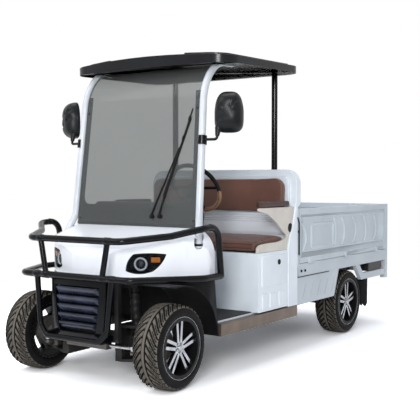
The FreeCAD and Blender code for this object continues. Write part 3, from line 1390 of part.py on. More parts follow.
for number, x in enumerate((-400, -knuckle_length / 2, 400 - knuckle_length)):
    tag = "tail" + str(number)
    moving = [rod("gate_knuckle_" + tag, "x", (x, tail_hinge_y, hinge_z), d.knuckle_radius, knuckle_length),
              block("gate_leaf_" + tag, (x, x + knuckle_length), (tail_hinge_y - d.knuckle_radius, tail_hinge_y),
                    (hinge_z, d.side_low + 30))]
    bore = rod("gate_bore_" + tag, "x", (x - 1, tail_hinge_y, hinge_z), d.hinge_pin + d.shaft_fit, knuckle_length + 2)
    tail_parts.append(cut("gate_hinge_" + tag, fuse("gate_hinge_body_" + tag, moving), [bore]))
    fixed_x = x + knuckle_length + 1
    bed_parts.append(rod("bed_knuckle_" + tag, "x", (fixed_x, tail_hinge_y, hinge_z), d.knuckle_radius,
                         knuckle_length))
    bed_parts.append(rod("bed_pin_" + tag, "x", (x, tail_hinge_y, hinge_z), d.hinge_pin, knuckle_length + 2))
    bed_parts.append(block("bed_leaf_" + tag, (fixed_x, fixed_x + knuckle_length),
                           (station(d.bed_rear) + 20, tail_hinge_y), (hinge_z - d.knuckle_radius, hinge_z)))
keep(fuse("tailgate_all", tail_parts), "tailgate")
keep(fuse("bed_all", bed_parts), "bed_body")

skirt = panel("skirt_plate", "yz", d.body_half - 24, 16, [
    (station(d.arch_rear) + d.gap_fit, d.skirt_low), (station(d.skirt_rear), d.skirt_low),
    (station(d.skirt_rear_high), d.side_rail_low - d.gap_fit),
    (station(d.arch_rear) + d.gap_fit, d.side_rail_low - d.gap_fit)])
slots = []
for number in range(5):
    foot = station(1331) + d.slot_pitch * number
    slots.append(panel("skirt_slot" + str(number), "yz", d.body_half - 34, 40, [
        (foot, d.skirt_low + 32), (foot + d.slot_wide, d.skirt_low + 32),
        (foot + d.slot_wide + d.slot_lean, d.skirt_low + 136), (foot + d.slot_lean, d.skirt_low + 136)]))
keep(both("skirts", cut("skirt_open", skirt, slots)), "side_skirts")

keep(both("lamp_boxes", block("tail_lamp_box", (d.body_half - 126, d.body_half - 16),
                              (station(d.bed_rear) - 300, station(d.bed_rear) - d.crossbar - d.gap_fit),
                              (d.rear_rail_high - 36, d.side_rail_low - d.gap_fit))), "tail_lamps")
keep(both("flaps", block("flap_left", (400, 590), (station(d.flap_at), station(d.flap_at) + 6),
                         (160, d.post_low + 26 - d.gap_fit))), "mudflaps")
bumper_bar = block("rear_bumper_bar", (-(d.body_half - 130), d.body_half - 130),
                   (station(d.bed_rear), station(d.bed_rear) + 25), (d.rear_rail_low, d.rear_rail_low + 52))
hitch_holes = [rod("hitch_hole" + str(number), "y", (x, station(d.bed_rear) - 5, d.rear_rail_low + 26),
                   d.hitch_hole, 40)
               for number, x in enumerate((-d.hitch_half, d.hitch_half))]
keep(cut("rear_bumper_all", bumper_bar, hitch_holes), "rear_bumper")


# Mirrors clamped to the struts, and the wiper on the foot of the screen.

def strut_axis(share_low, share_high):
    low = vec(*strut_point(share_low))
    high = vec(*strut_point(share_high))
    return low, high - low


def mirror_side():
    start, along = strut_axis(0.56, 0.62)
    clamp = Part.makeCylinder(float(d.strut_radius) + 8, along.Length, start, along)
    clamp = clamp.cut(Part.makeCylinder(float(d.strut_radius + d.gap_fit), along.Length * 3, start - along, along))
    middle = start + along * 0.5
    inboard = Part.makeBox(60, 120, 120, vec(middle.x - 66, middle.y - 60, middle.z - 60))
    clamp = clamp.cut(inboard)
    out = middle.x + float(d.strut_radius) + 4
    head = vec(d.body_half + 16, middle.y + 46, 1528)
    stem = tube_shape([(out, middle.y, middle.z), (head.x - 62, middle.y + 10, middle.z - 6),
                       (head.x - 46, head.y - 2, head.z - 84)], (22,), 7)
    shell = Part.makeBox(168, 84, 236, vec(-84, -42, -118))
    shell = shell.makeFillet(74, [e for e in shell.Edges if runs_along("y")(e)])
    shell = shell.makeFillet(36, [e for e in shell.Edges if e.CenterOfMass.y < -41])
    shell.rotate(vec(0, 0, 0), vec(0, 0, 1), float(d.mirror_turn))
    shell.translate(head)
    return clamp.fuse([stem, shell]).removeSplitter()


keep(both("mirrors", shape_feature("mirror_left", mirror_side())), "door_mirrors")


def wiper_point(x, share, lift):
    y, z = screen_at(share)
    return vec(x, y, z) - screen_back * lift


pivot = wiper_point(135, 0.066, float(d.gap_fit))
boss = Part.makeCylinder(13, 22, pivot, -screen_back)
arm = tube_shape([wiper_point(135, 0.066, 17), wiper_point(322, 0.55, 17)], (), 5)
blade = tube_shape([wiper_point(250, 0.275, 12), wiper_point(396, 0.815, 12)], (), 8)
keep(shape_feature("wiper_all", boss.fuse([arm, blade]).removeSplitter()), "wiper")


# Every object is checked before the sub-parts are written.

doc.recompute()
for item in doc.Objects:
    if "Invalid" in item.State or "Error" in item.State:
        raise RuntimeError(item.Label + " did not build: " + str(item.State))
for item in NODES:
    if item.Shape.isNull() or not item.Shape.isValid():
        raise RuntimeError(item.Label + " has no valid shape")

os.makedirs("parts", exist_ok=True)
for item in NODES:
    item.Shape.exportStep(os.path.join("parts", item.Label + ".step"))
    print(item.Label, len(item.Shape.Solids), "solids", round(item.Shape.Volume / 1e6, 3), "litres")
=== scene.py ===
import math

import bmesh
import bpy
import numpy as np
from mathutils import Matrix, Vector


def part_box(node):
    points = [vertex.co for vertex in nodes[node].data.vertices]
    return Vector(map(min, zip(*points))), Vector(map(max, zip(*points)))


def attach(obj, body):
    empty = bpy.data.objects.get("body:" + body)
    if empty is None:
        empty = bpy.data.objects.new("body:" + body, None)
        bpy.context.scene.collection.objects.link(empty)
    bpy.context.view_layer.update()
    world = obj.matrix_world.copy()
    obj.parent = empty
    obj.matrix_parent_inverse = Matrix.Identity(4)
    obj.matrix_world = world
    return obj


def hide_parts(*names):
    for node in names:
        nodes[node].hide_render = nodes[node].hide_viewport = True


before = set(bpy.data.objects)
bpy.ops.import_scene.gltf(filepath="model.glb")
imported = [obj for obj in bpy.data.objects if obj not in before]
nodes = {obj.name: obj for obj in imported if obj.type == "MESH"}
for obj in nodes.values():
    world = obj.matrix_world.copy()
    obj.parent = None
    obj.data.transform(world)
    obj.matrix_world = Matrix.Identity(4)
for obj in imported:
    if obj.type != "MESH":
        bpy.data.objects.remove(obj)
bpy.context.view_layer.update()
front_axle = -1.2595
bar_side_end = -0.9495
scene = bpy.context.scene


# The studio: a pale sheet of floor that runs on into a white backdrop, one broad soft lamp high at
# the front left, one above the roof and a small low one that grazes the load bed from the front.
# The camera stands where the photograph was taken from.

def tone(red, green, blue):
    """Linear colour of a paint chip given as 0 to 255."""
    linear = []
    for part in (red, green, blue):
        part = part / 255
        linear.append(part / 12.92 if part < 0.04045 else ((part + 0.055) / 1.055) ** 2.4)
    return (*linear, 1.0)


def blank_material(name):
    material = bpy.data.materials.new(name)
    material.use_nodes = True
    material.node_tree.nodes.clear()
    return material, material.node_tree.nodes, material.node_tree.links


def wire(links_of, *pairs):
    for source, target in pairs:
        links_of.new(source, target)


def seen_directly(nodes_of, links_of):
    """One where the backdrop is seen by the camera, in a gloss or through glass."""
    ray = nodes_of.new("ShaderNodeLightPath")
    first = nodes_of.new("ShaderNodeMath")
    first.operation = "MAXIMUM"
    second = nodes_of.new("ShaderNodeMath")
    second.operation = "MAXIMUM"
    links_of.new(ray.outputs["Is Camera Ray"], first.inputs[0])
    links_of.new(ray.outputs["Is Transmission Ray"], first.inputs[1])
    links_of.new(first.outputs[0], second.inputs[0])
    return ray, second


floor_sheet, floor_nodes, floor_links = blank_material("studio_floor")
paper = floor_nodes.new("ShaderNodeBsdfDiffuse")
paper.inputs["Color"].default_value = (0.8, 0.8, 0.81, 1)
paper_seen = floor_nodes.new("ShaderNodeBsdfDiffuse")
paper_seen.inputs["Color"].default_value = (1.3, 1.3, 1.31, 1)
lift = floor_nodes.new("ShaderNodeEmission")
lift.inputs["Color"].default_value = (0.07, 0.07, 0.072, 1)
both_ways = floor_nodes.new("ShaderNodeAddShader")
far_wall = floor_nodes.new("ShaderNodeEmission")
far_wall.inputs["Color"].default_value = (1, 1, 1, 1)
floor_place = floor_nodes.new("ShaderNodeTexCoord")
reach = floor_nodes.new("ShaderNodeVectorMath")
reach.operation = "LENGTH"
fade_out = floor_nodes.new("ShaderNodeMapRange")
fade_out.inputs["From Min"].default_value = 2.2
fade_out.inputs["From Max"].default_value = 4.2
faded = floor_nodes.new("ShaderNodeMixShader")
only_seen = floor_nodes.new("ShaderNodeMixShader")
floor_out = floor_nodes.new("ShaderNodeOutputMaterial")
floor_ray, floor_seen = seen_directly(floor_nodes, floor_links)
wire(floor_links,
     (floor_ray.outputs["Is Glossy Ray"], floor_seen.inputs[1]),
     (paper_seen.outputs[0], both_ways.inputs[0]),
     (lift.outputs[0], both_ways.inputs[1]),
     (floor_place.outputs["Object"], reach.inputs[0]),
     (reach.outputs["Value"], fade_out.inputs["Value"]),
     (fade_out.outputs[0], faded.inputs[0]),
     (both_ways.outputs[0], faded.inputs[1]),
     (far_wall.outputs[0], faded.inputs[2]),
     (floor_seen.outputs[0], only_seen.inputs[0]),
     (paper.outputs[0], only_seen.inputs[1]),
     (faded.outputs[0], only_seen.inputs[2]),
     (only_seen.outputs[0], floor_out.inputs["Surface"]))

floor_mesh = bpy.data.meshes.new("studio_floor")
floor_mesh.from_pydata([(-30, -30, 0), (30, -30, 0), (30, 30, 0), (-30, 30, 0)], [], [(0, 1, 2, 3)])
floor = bpy.data.objects.new("studio_floor", floor_mesh)
scene.collection.objects.link(floor)
floor_mesh.materials.append(floor_sheet)

world = bpy.data.worlds.new("studio")
scene.world = world
world.use_nodes = True
world.node_tree.nodes.clear()
air, air_links = world.node_tree.nodes, world.node_tree.links
white_wall = air.new("ShaderNodeBackground")
white_wall.inputs["Color"].default_value = (1, 1, 1, 1)
soft_wall = air.new("ShaderNodeBackground")
soft_wall.inputs["Strength"].default_value = 1.0
direction = air.new("ShaderNodeTexCoord")
parts_of_way = air.new("ShaderNodeSeparateXYZ")
ramp = air.new("ShaderNodeValToRGB")
ramp.color_ramp.elements[0].position = 0.0
ramp.color_ramp.elements[0].color = (0.30, 0.31, 0.33, 1)
ramp.color_ramp.elements[1].position = 0.62
ramp.color_ramp.elements[1].color = (0.62, 0.64, 0.68, 1)
spread = air.new("ShaderNodeMapRange")
spread.inputs["From Min"].default_value = -0.15
spread.inputs["From Max"].default_value = 1.0
wall_mix = air.new("ShaderNodeMixShader")
wall_out = air.new("ShaderNodeOutputWorld")
wall_ray, wall_seen = seen_directly(air, air_links)
wire(air_links,
     (wall_ray.outputs["Is Glossy Ray"], wall_seen.inputs[1]),
     (direction.outputs["Generated"], parts_of_way.inputs[0]),
     (parts_of_way.outputs["Z"], spread.inputs["Value"]),
     (spread.outputs[0], ramp.inputs[0]),
     (ramp.outputs[0], soft_wall.inputs["Color"]),
     (wall_seen.outputs[0], wall_mix.inputs[0]),
     (soft_wall.outputs[0], wall_mix.inputs[1]),
     (white_wall.outputs[0], wall_mix.inputs[2]),
     (wall_mix.outputs[0], wall_out.inputs["Surface"]))


def soft_lamp(name, place, aim, wide, high, watts):
    data = bpy.data.lights.new(name, "AREA")
    data.shape = "RECTANGLE"
    data.size = wide
    data.size_y = high
    data.energy = watts
    lamp = bpy.data.objects.new(name, data)
    lamp.location = place
    lamp.rotation_euler = (Vector(aim) - Vector(place)).to_track_quat("-Z", "Y").to_euler()
    scene.collection.objects.link(lamp)


soft_lamp("front_left_lamp", (-2.6, -6.0, 6.6), (0, -0.3, 0.7), 6.0, 4.0, 250)
soft_lamp("roof_lamp", (-0.4, 0.2, 7.0), (0, 0, 0.6), 5.0, 4.0, 260)
soft_lamp("side_lamp", (3.6, -7.0, 2.7), (0, 0.4, 0.8), 1.8, 1.5, 330)

lens_data = bpy.data.cameras.new("camera")
lens_data.lens = 71.29
lens_data.sensor_width = 36
camera = bpy.data.objects.new("camera", lens_data)
camera.location = (3.1999, -4.848, 1.1366)
camera.rotation_euler = (math.radians(90 - 2.023), 0, math.radians(34.294))
scene.collection.objects.link(camera)
scene.camera = camera
scene.view_settings.view_transform = "Standard"


# Frame and running gear: welded box rails, wishbones, coil-over dampers, uprights, a live rear axle
# on leaf springs and a bolted-on motor. All of it is steel with a black coat, a little dusty below,
# apart from the bright track rod, cast housings and the motor's painted can; the dampers are black
# all over.

def coat(name, light, dark, rough=(0.3, 0.4), cloud=5, grain=300, bump=0.0, depth=0.001, metal=0.0,
         lacquer=0.0, sheen=0.0, stretch=(1, 1, 1), dust=None, dust_top=0.45, specular=0.3):
    """Finish of one kind of surface: two close shades in clouds, uneven gloss and a fine grain.
    With dust given, road dust of that colour thickens towards the ground."""
    material, made, link = blank_material(name)
    shader = made.new("ShaderNodeBsdfPrincipled")
    out = made.new("ShaderNodeOutputMaterial")
    place = made.new("ShaderNodeTexCoord")
    size = made.new("ShaderNodeMapping")
    size.inputs["Scale"].default_value = stretch
    clouds = made.new("ShaderNodeTexNoise")
    clouds.inputs["Scale"].default_value = cloud
    clouds.inputs["Detail"].default_value = 5
    shades = made.new("ShaderNodeMix")
    shades.data_type = "RGBA"
    shades.inputs["A"].default_value = dark
    shades.inputs["B"].default_value = light
    sharper = made.new("ShaderNodeMapRange")
    sharper.inputs["From Min"].default_value = 0.35
    sharper.inputs["From Max"].default_value = 0.65
    gloss = made.new("ShaderNodeMapRange")
    gloss.inputs["To Min"].default_value = rough[0]
    gloss.inputs["To Max"].default_value = rough[1]
    fine = made.new("ShaderNodeTexNoise")
    fine.inputs["Scale"].default_value = grain
    fine.inputs["Detail"].default_value = 2
    raised = made.new("ShaderNodeBump")
    raised.inputs["Strength"].default_value = bump
    raised.inputs["Distance"].default_value = depth
    wire(link,
         (place.outputs["Object"], size.inputs["Vector"]),
         (size.outputs[0], clouds.inputs["Vector"]),
         (size.outputs[0], fine.inputs["Vector"]),
         (clouds.outputs["Fac"], sharper.inputs["Value"]),
         (sharper.outputs[0], shades.inputs["Factor"]),
         (clouds.outputs["Fac"], gloss.inputs["Value"]),
         (fine.outputs["Fac"], raised.inputs["Height"]),
         (gloss.outputs[0], shader.inputs["Roughness"]),
         (raised.outputs[0], shader.inputs["Normal"]))
    shade = shades.outputs["Result"]
    if dust:
        axes = made.new("ShaderNodeSeparateXYZ")
        climb = made.new("ShaderNodeMapRange")
        climb.inputs["From Min"].default_value = dust_top
        climb.inputs["From Max"].default_value = 0.05
        climb.inputs["To Max"].default_value = 0.75
        patchy = made.new("ShaderNodeMath")
        patchy.operation = "MULTIPLY"
        dusted = made.new("ShaderNodeMix")
        dusted.data_type = "RGBA"
        dusted.inputs["B"].default_value = dust
        wire(link,
             (place.outputs["Object"], axes.inputs[0]),
             (axes.outputs["Z"], climb.inputs["Value"]),
             (climb.outputs[0], patchy.inputs[0]),
             (sharper.outputs[0], patchy.inputs[1]),
             (patchy.outputs[0], dusted.inputs["Factor"]))
        link.new(shade, dusted.inputs["A"])
        shade = dusted.outputs["Result"]
    link.new(shade, shader.inputs["Base Color"])
    shader.inputs["Metallic"].default_value = metal
    shader.inputs["Specular IOR Level"].default_value = specular
    shader.inputs["Coat Weight"].default_value = lacquer
    shader.inputs["Coat Roughness"].default_value = 0.06
    shader.inputs["Sheen Weight"].default_value = sheen
    link.new(shader.outputs[0], out.inputs["Surface"])
    return material


def dress(node, material):
    """A node whose drawn shape is right keeps it and takes the finish."""
    for place in nodes[node].material_slots:
        place.material = material


road_dust = tone(50, 47, 43)
frame_paint = coat("frame_black", tone(26, 26, 28), tone(15, 15, 17), (0.38, 0.55), 9, 260, 0.25, 0.0006,
        dust=road_dust, specular=0.16)
casting = coat("cast_grey", tone(118, 116, 112), tone(84, 82, 80), (0.45, 0.62), 14, 420, 0.5, 0.0008,
        metal=0.6, dust=road_dust)
bright_steel = coat("bright_steel", tone(176, 176, 178), tone(140, 140, 144), (0.2, 0.34), 12, 500, 0.1,
        0.0004, metal=1.0)
motor_paint = coat("motor_blue_black", tone(52, 56, 62), tone(34, 37, 42), (0.35, 0.5), 9, 300, 0.2,
        0.0005, dust=road_dust)
spring_steel = coat("spring_steel", tone(50, 48, 47), tone(32, 31, 31), (0.45, 0.6), 12, 350, 0.4,
        0.0006, metal=0.3, dust=road_dust)


def softened(node, width, material, body="cart", angle=34, steps=2, name=None):
    """A drawn node with its arrises rounded as a press or a mould leaves them."""
    form = bmesh.new()
    form.from_mesh(nodes[node].data)
    bmesh.ops.remove_doubles(form, verts=form.verts, dist=2e-5)
    bmesh.ops.dissolve_limit(form, angle_limit=math.radians(1.2), verts=form.verts, edges=form.edges)
    mesh = bpy.data.meshes.new(name or node + "_skin")
    form.to_mesh(mesh)
    form.free()
    mesh.materials.clear()
    mesh.materials.append(material)
    for face in mesh.polygons:
        face.material_index = 0
    mesh.shade_smooth()
    mesh.set_sharp_from_angle(angle=math.radians(angle))
    piece = bpy.data.objects.new(name or node + "_skin", mesh)
    scene.collection.objects.link(piece)
    round_off = piece.modifiers.new("arris", "BEVEL")
    round_off.width = width
    round_off.segments = steps
    round_off.limit_method = "ANGLE"
    round_off.angle_limit = math.radians(angle)
    round_off.harden_normals = True
    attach(piece, body)
    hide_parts(node)
    return piece


softened("chassis_frame", 0.003, frame_paint)
softened("front_wishbones", 0.002, frame_paint)
softened("upright_left", 0.002, casting, "knuckle_left")
softened("upright_right", 0.002, casting, "knuckle_right")
softened("track_rod", 0.0015, bright_steel, "steering_rod")
softened("rack_housing", 0.002, casting)
softened("rear_axle", 0.003, frame_paint)
softened("drive_motor", 0.003, motor_paint)
softened("leaf_springs", 0.001, spring_steel)
softened("front_dampers", 0.001, frame_paint)
softened("battery_pack", 0.006, coat("battery_case", tone(44, 46, 50), tone(30, 32, 36), (0.4, 0.55), 6,
        320, 0.3, 0.0005))


# Tyres: low-profile radials, rubber, with swept-back grooves cut into the crown, a plain shoulder
# and a bead that sits on the rim's lip. One casing is made for each side and set at both axles.

TREAD_PITCHES = 36
tyre_round = 576
tyre_half = [0.0, 0.003, 0.0055, 0.008, 0.0105, 0.014, 0.018, 0.022, 0.026, 0.030, 0.034, 0.038, 0.042,
        0.046,
             0.050, 0.054, 0.058, 0.062, 0.066, 0.070]
tyre_wall = [(0.0738, 0.2262), (0.0777, 0.2222), (0.0812, 0.2160), (0.0846, 0.2080), (0.0870, 0.1995),
             (0.0884, 0.1915), (0.0888, 0.1850), (0.0882, 0.1792), (0.0868, 0.1762), (0.0860, 0.1752),
             (0.0846, 0.1722), (0.0828, 0.1690), (0.0796, 0.1655), (0.0750, 0.1580), (0.0600, 0.1540)]
tread_rubber = coat("tread_rubber", tone(98, 93, 86), tone(82, 78, 72), (0.7, 0.85), 5, 600, 0.4, 0.0005,
        specular=0.2)
groove_rubber = coat("groove_rubber", tone(24, 23, 22), tone(16, 16, 15), (0.7, 0.85), 30, 400, 0.3,
        0.0005, specular=0.08)
wall_rubber = coat("wall_rubber", tone(20, 20, 21), tone(13, 13, 14), (0.5, 0.64), 18, 500, 0.3, 0.0004,
        specular=0.08)


def groove(cycle, middle, wide):
    """Depth share of a groove whose centre line is at that part of a pitch."""
    away = np.abs((cycle - middle + 0.5) % 1.0 - 0.5)
    return np.clip((wide - away) / 0.04 + 0.5, 0, 1)


def tyre_mesh(sign):
    crown = np.array(tyre_half)
    edge = crown[-1]
    radius = 0.2349 - 0.0058 * (crown / edge) ** 2.2
    wall_x = np.array([p[0] for p in tyre_wall])
    wall_r = np.array([p[1] for p in tyre_wall])
    across = np.concatenate([-wall_x[::-1], -crown[:0:-1], crown, wall_x])
    reach = np.concatenate([wall_r[::-1], radius[:0:-1], radius, wall_r])
    turn = np.arange(tyre_round) / tyre_round * 2 * math.pi
    wide, around = np.meshgrid(across, turn)
    share = np.abs(wide) / edge
    cycle = TREAD_PITCHES * around / (2 * math.pi) * sign + 2.1 * share ** 1.3
    sweep = groove(cycle, 0.5, 0.17) * np.clip((share - 0.2) / 0.08, 0, 1)
    sipe = groove(cycle, 0.0, 0.07) * np.clip((share - 0.5) / 0.06, 0, 1) * 0.8
    ring = np.clip(1.3 - np.abs(share - 0.17) / 0.045, 0, 1)
    cut_deep = np.maximum(np.maximum(sweep, sipe), ring)
    fade = np.clip((1.13 - share) / 0.07, 0, 1)
    shoulder = np.clip((share - 1.0) / 0.02, 0, 1) * np.clip((1.17 - share) / 0.03, 0, 1)
    shoulder_cut = groove(cycle, 0.5, 0.12) * shoulder
    depth = 0.0075 * cut_deep * fade + 0.003 * shoulder_cut
    reach_all = np.tile(reach, (tyre_round, 1)) - depth
    points = np.stack([wide, reach_all * np.sin(around), reach_all * np.cos(around)], -1).reshape(-1, 3)
    many = len(across)
    row = np.arange(tyre_round)[:, None] * many
    column = np.arange(many - 1)[None, :]
    nxt = (np.arange(tyre_round)[:, None] + 1) % tyre_round * many
    faces = np.stack([row + column, row + column + 1, nxt + column + 1, nxt + column], -1).reshape(-1, 4)
    inner = np.stack([row[:, 0] + many - 1, row[:, 0], nxt[:, 0], nxt[:, 0] + many - 1], -1)
    mesh = bpy.data.meshes.new("tyre_casing")
    mesh.from_pydata(points.tolist(), [], np.concatenate([faces, inner]).tolist())
    mesh.materials.append(tread_rubber)
    mesh.materials.append(wall_rubber)
    mesh.materials.append(groove_rubber)
    middle = (np.abs(across[:-1]) + np.abs(across[1:])) / 2
    sunk = (depth + np.roll(depth, -1, axis=0))
    sunk = (sunk[:, :-1] + sunk[:, 1:]) / 4
    kind = np.where(sunk > 0.0024, 2, 0)
    kind[:, middle > 0.0800] = 1
    kind = np.concatenate([kind.reshape(-1), np.ones(tyre_round, int)])
    mesh.polygons.foreach_set("material_index", kind)
    mesh.shade_smooth()
    mesh.set_sharp_from_angle(angle=math.radians(50))
    return mesh


def show(name, mesh, place, body, slot_name, *stands_for):
    piece = bpy.data.objects.new(name, mesh)
    piece.location = place
    scene.collection.objects.link(piece)
    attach(piece, body)
    if stands_for:
        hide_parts(*stands_for)
    return piece


casings = {"left": tyre_mesh(1), "right": tyre_mesh(1)}
for end in ("front", "rear"):
    for side in ("left", "right"):
        node = end + "_tyre_" + side
        low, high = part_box(node)
        show(node + "_casing", casings[side], (low + high) / 2, "wheel_" + end + "_" + side, "tyre", node)


# Wheels: cast alloy with five pairs of spokes, machined bright on their faces, with black lacquer
# in the pockets and a thin bright line round the lip. Five nuts and a domed cap sit on each hub.

alloy_face = coat("machined_alloy", tone(168, 169, 173), tone(138, 140, 146), (0.2, 0.32), 20, 700, 0.12,
        0.0003, metal=1.0)
alloy_pocket = coat("pocket_black", tone(16, 17, 19), tone(10, 11, 12), (0.4, 0.55), 14, 400, 0.15,
        0.0004, specular=0.14)


def walled(form, rings):
    """Joins closed rings of points, each to the next, by bands of faces."""
    for first, second in zip(rings, rings[1:]):
        for i in range(len(first)):
            j = (i + 1) % len(first)
            form.faces.new((first[i], first[j], second[j], second[i]))


def turned(form, centre, axis, profile, steps=20, capped=True):
    """Adds a lathe-turned form to a mesh: (distance along the axis, radius) pairs from end to end."""
    axis = Vector(axis).normalized()
    side = axis.orthogonal().normalized()
    up = axis.cross(side)
    rings = []
    for along, radius in profile:
        if radius < 1e-6:
            rings.append([form.verts.new(Vector(centre) + axis * along)])
            continue
        rings.append([form.verts.new(Vector(centre) + axis * along
                                     + (side * math.cos(a) + up * math.sin(a)) * radius)
                      for a in (2 * math.pi * i / steps for i in range(steps))])
    made = []
    for first, second in zip(rings, rings[1:]):
        for i in range(steps):
            j = (i + 1) % steps
            if len(first) == 1 and len(second) > 1:
                made.append(form.faces.new((first[0], second[j], second[i])))
            elif len(second) == 1 and len(first) > 1:
                made.append(form.faces.new((first[i], first[j], second[0])))
            elif len(first) > 1:
                made.append(form.faces.new((first[i], first[j], second[j], second[i])))
    for ring, flip in ((rings[0], True), (rings[-1], False)):
        if capped and len(ring) > 1:
            made.append(form.faces.new(ring[::-1] if flip else ring))
    return made


def as_piece(name, form, materials, body, slot_name, angle=35, stands_for=(), place=(0, 0, 0), arris=0.0):
    mesh = bpy.data.meshes.new(name)
    bmesh.ops.recalc_face_normals(form, faces=form.faces)
    form.to_mesh(mesh)
    form.free()
    for material in materials:
        mesh.materials.append(material)
    mesh.shade_smooth()
    mesh.set_sharp_from_angle(angle=math.radians(angle))
    piece = show(name, mesh, place, body, slot_name, *stands_for)
    if arris:
        round_off = piece.modifiers.new("arris", "BEVEL")
        round_off.width = arris
        round_off.segments = 2
        round_off.limit_method = "ANGLE"
        round_off.angle_limit = math.radians(angle)
        round_off.harden_normals = True
    return piece


for end in ("front", "rear"):
    for side in ("left", "right"):
        node = end + "_rim_" + side
        wheel = softened(node, 0.0014, alloy_pocket, "wheel_" + end + "_" + side, 30)
        wheel.data.materials.append(alloy_face)
        low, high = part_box(node)
        out = 1 if side == "left" else -1
        middle = (low + high) / 2
        for face in wheel.data.polygons:
            away = face.center - middle
            corners = [wheel.data.vertices[corner].co - middle for corner in face.vertices]
            flat = sum(math.hypot(at.y, at.z) for at in corners) / len(corners)
            if face.normal.x * out > 0.6 and away.x * out > 0.03 and flat < 0.155:
                face.material_index = 1
        form = bmesh.new()
        outer_face = high.x if side == "left" else low.x
        hub_face = middle.x + out * 0.0695
        for number in range(5):
            angle = math.radians(72 * number + 36)
            at = Vector((hub_face, middle.y + 0.026 * math.sin(angle),
                    middle.z + 0.026 * math.cos(angle)))
            turned(form, at, (out, 0, 0), [(-0.004, 0.0072), (0.004, 0.0072), (0.0062, 0.0052),
                    (0.0068, 0)], 6)
        turned(form, (hub_face, middle.y, middle.z), (out, 0, 0),
               [(-0.004, 0.0175), (0.006, 0.0175), (0.0092, 0.015), (0.0104, 0.009), (0.0108, 0)], 28)
        turned(form, middle, (out, 0, 0), [(0.0790, 0.1672), (0.0857, 0.1678), (0.0860, 0.1688),
                (0.0857, 0.1698), (0.0790, 0.1704)], 72, False)
        as_piece(node + "_nuts_and_cap", form, [alloy_face], "wheel_" + end + "_" + side, "alloy")


# Nose: one vacuum-formed cowl, pearl white, over a black apron that makes the front wheel arches.
# Both are moulded in one piece each and screwed to the bulkhead.

pearl = coat("pearl_white", tone(226, 229, 235), tone(218, 222, 229), (0.16, 0.22), 3, 90, 0.04, 0.0008,
        lacquer=0.4)
black_plastic = coat("black_plastic", tone(17, 17, 19), tone(10, 10, 12), (0.42, 0.55), 8, 420, 0.35,
        0.0005, specular=0.12)
softened("cowl", 0.006, pearl, steps=3)
softened("front_fenders", 0.004, black_plastic)


# Bull bar: 38 mm steel tube bent round the nose with two uprights, a lower hoop and weld collars,
# all in gloss black. The side tubes come down behind the wheel arch and meet the lower ring.

gloss_black = coat("gloss_black", tone(10, 11, 14), tone(6, 7, 9), (0.14, 0.22), 6, 200, 0.06, 0.0005,
        specular=0.14)


def bend(points, radii, steps=8):
    """Centre line of a bent tube: straight runs joined by arcs of the given radii."""
    points = [Vector(point) for point in points]
    line = [points[0]]
    for before, corner, after, radius in zip(points, points[1:], points[2:], radii):
        back = (before - corner).normalized()
        on = (after - corner).normalized()
        half = back.angle(on) / 2
        reach = radius / math.tan(half)
        centre = corner + (back + on).normalized() * (radius / math.sin(half))
        start = corner + back * reach - centre
        axis = start.cross(corner + on * reach - centre).normalized()
        sweep = math.pi - 2 * half
        for step in range(steps + 1):
            line.append(centre + Matrix.Rotation(sweep * step / steps, 3, axis) @ start)
    line.append(points[-1])
    return line


def tube(form, line, radius, steps=14, flat=1.0, taper=None):
    """Adds a closed tube along a centre line; flat squeezes its section across the run."""
    line = [Vector(point) for point in line]
    rings = []
    normal = None
    for number, point in enumerate(line):
        ahead = line[min(number + 1, len(line) - 1)] - line[max(number - 1, 0)]
        ahead.normalize()
        if normal is None:
            normal = ahead.orthogonal().normalized()
        normal = (normal - ahead * normal.dot(ahead)).normalized()
        side = ahead.cross(normal)
        size = radius if taper is None else radius + (taper - radius) * number / (len(line) - 1)
        rings.append([form.verts.new(point + normal * (math.cos(a) * size)
                                     + side * (math.sin(a) * size * flat))
                      for a in (2 * math.pi * i / steps for i in range(steps))])
    walled(form, rings)
    form.faces.new(rings[0][::-1])
    form.faces.new(rings[-1])


bar_front_y = -1.4955
bar_top = [(0.0, bar_front_y, 0.812), (0.335, bar_front_y, 0.812), (0.488, -1.2535, 0.834),
        (0.616, -1.1355, 0.872),
           (0.616, -0.9825, 0.882), (0.616, bar_side_end, 0.600)]
bar_low = [(0.0, bar_front_y, 0.608), (0.395, bar_front_y, 0.608), (0.552, -1.2295, 0.602),
        (0.616, -1.1195, 0.600),
           (0.616, bar_side_end, 0.600)]
form = bmesh.new()
for points, radii in ((bar_top, (0.09, 0.12, 0.08, 0.08)), (bar_low, (0.09, 0.12, 0.11))):
    right = bend(points, radii)
    left = [Vector((-p.x, p.y, p.z)) for p in right]
    tube(form, left[::-1] + right[1:], 0.019, 18)
for sign in (1, -1):
    turned(form, (0.616 * sign, bar_side_end, 0.600), (0, 0, 1),
            [(0.019 * math.sin(a), 0.019 * math.cos(a)) for a in
                                                       np.linspace(-math.pi / 2, math.pi / 2, 9)], 18)
    tube(form, [(0.250 * sign, bar_front_y, 0.812), (0.210 * sign, bar_front_y, 0.608)], 0.016)
    for x, z in ((0.250, 0.812), (0.210, 0.608), (0.278, 0.608)):
        turned(form, (x * sign, bar_front_y, z), (1, 0, 0),
                [(-0.022, 0.0195), (-0.020, 0.0212), (0.020, 0.0212), (0.022, 0.0195)], 18)
    turned(form, (0.616 * sign, -1.060, 0.877), (0, 1, 0.06),
            [(-0.003, 0.0195), (-0.002, 0.0206), (0.002, 0.0206), (0.003, 0.0195)], 18)
    turned(form, (0.616 * sign, -0.9545, 0.640), (0, 0.11, 1),
            [(-0.003, 0.0195), (-0.002, 0.0206), (0.002, 0.0206), (0.003, 0.0195)], 18)
hoop_half = [(0.278, bar_front_y, 0.608), (0.250, bar_front_y - 0.004, 0.320),
        (0.192, bar_front_y - 0.014, 0.264)]
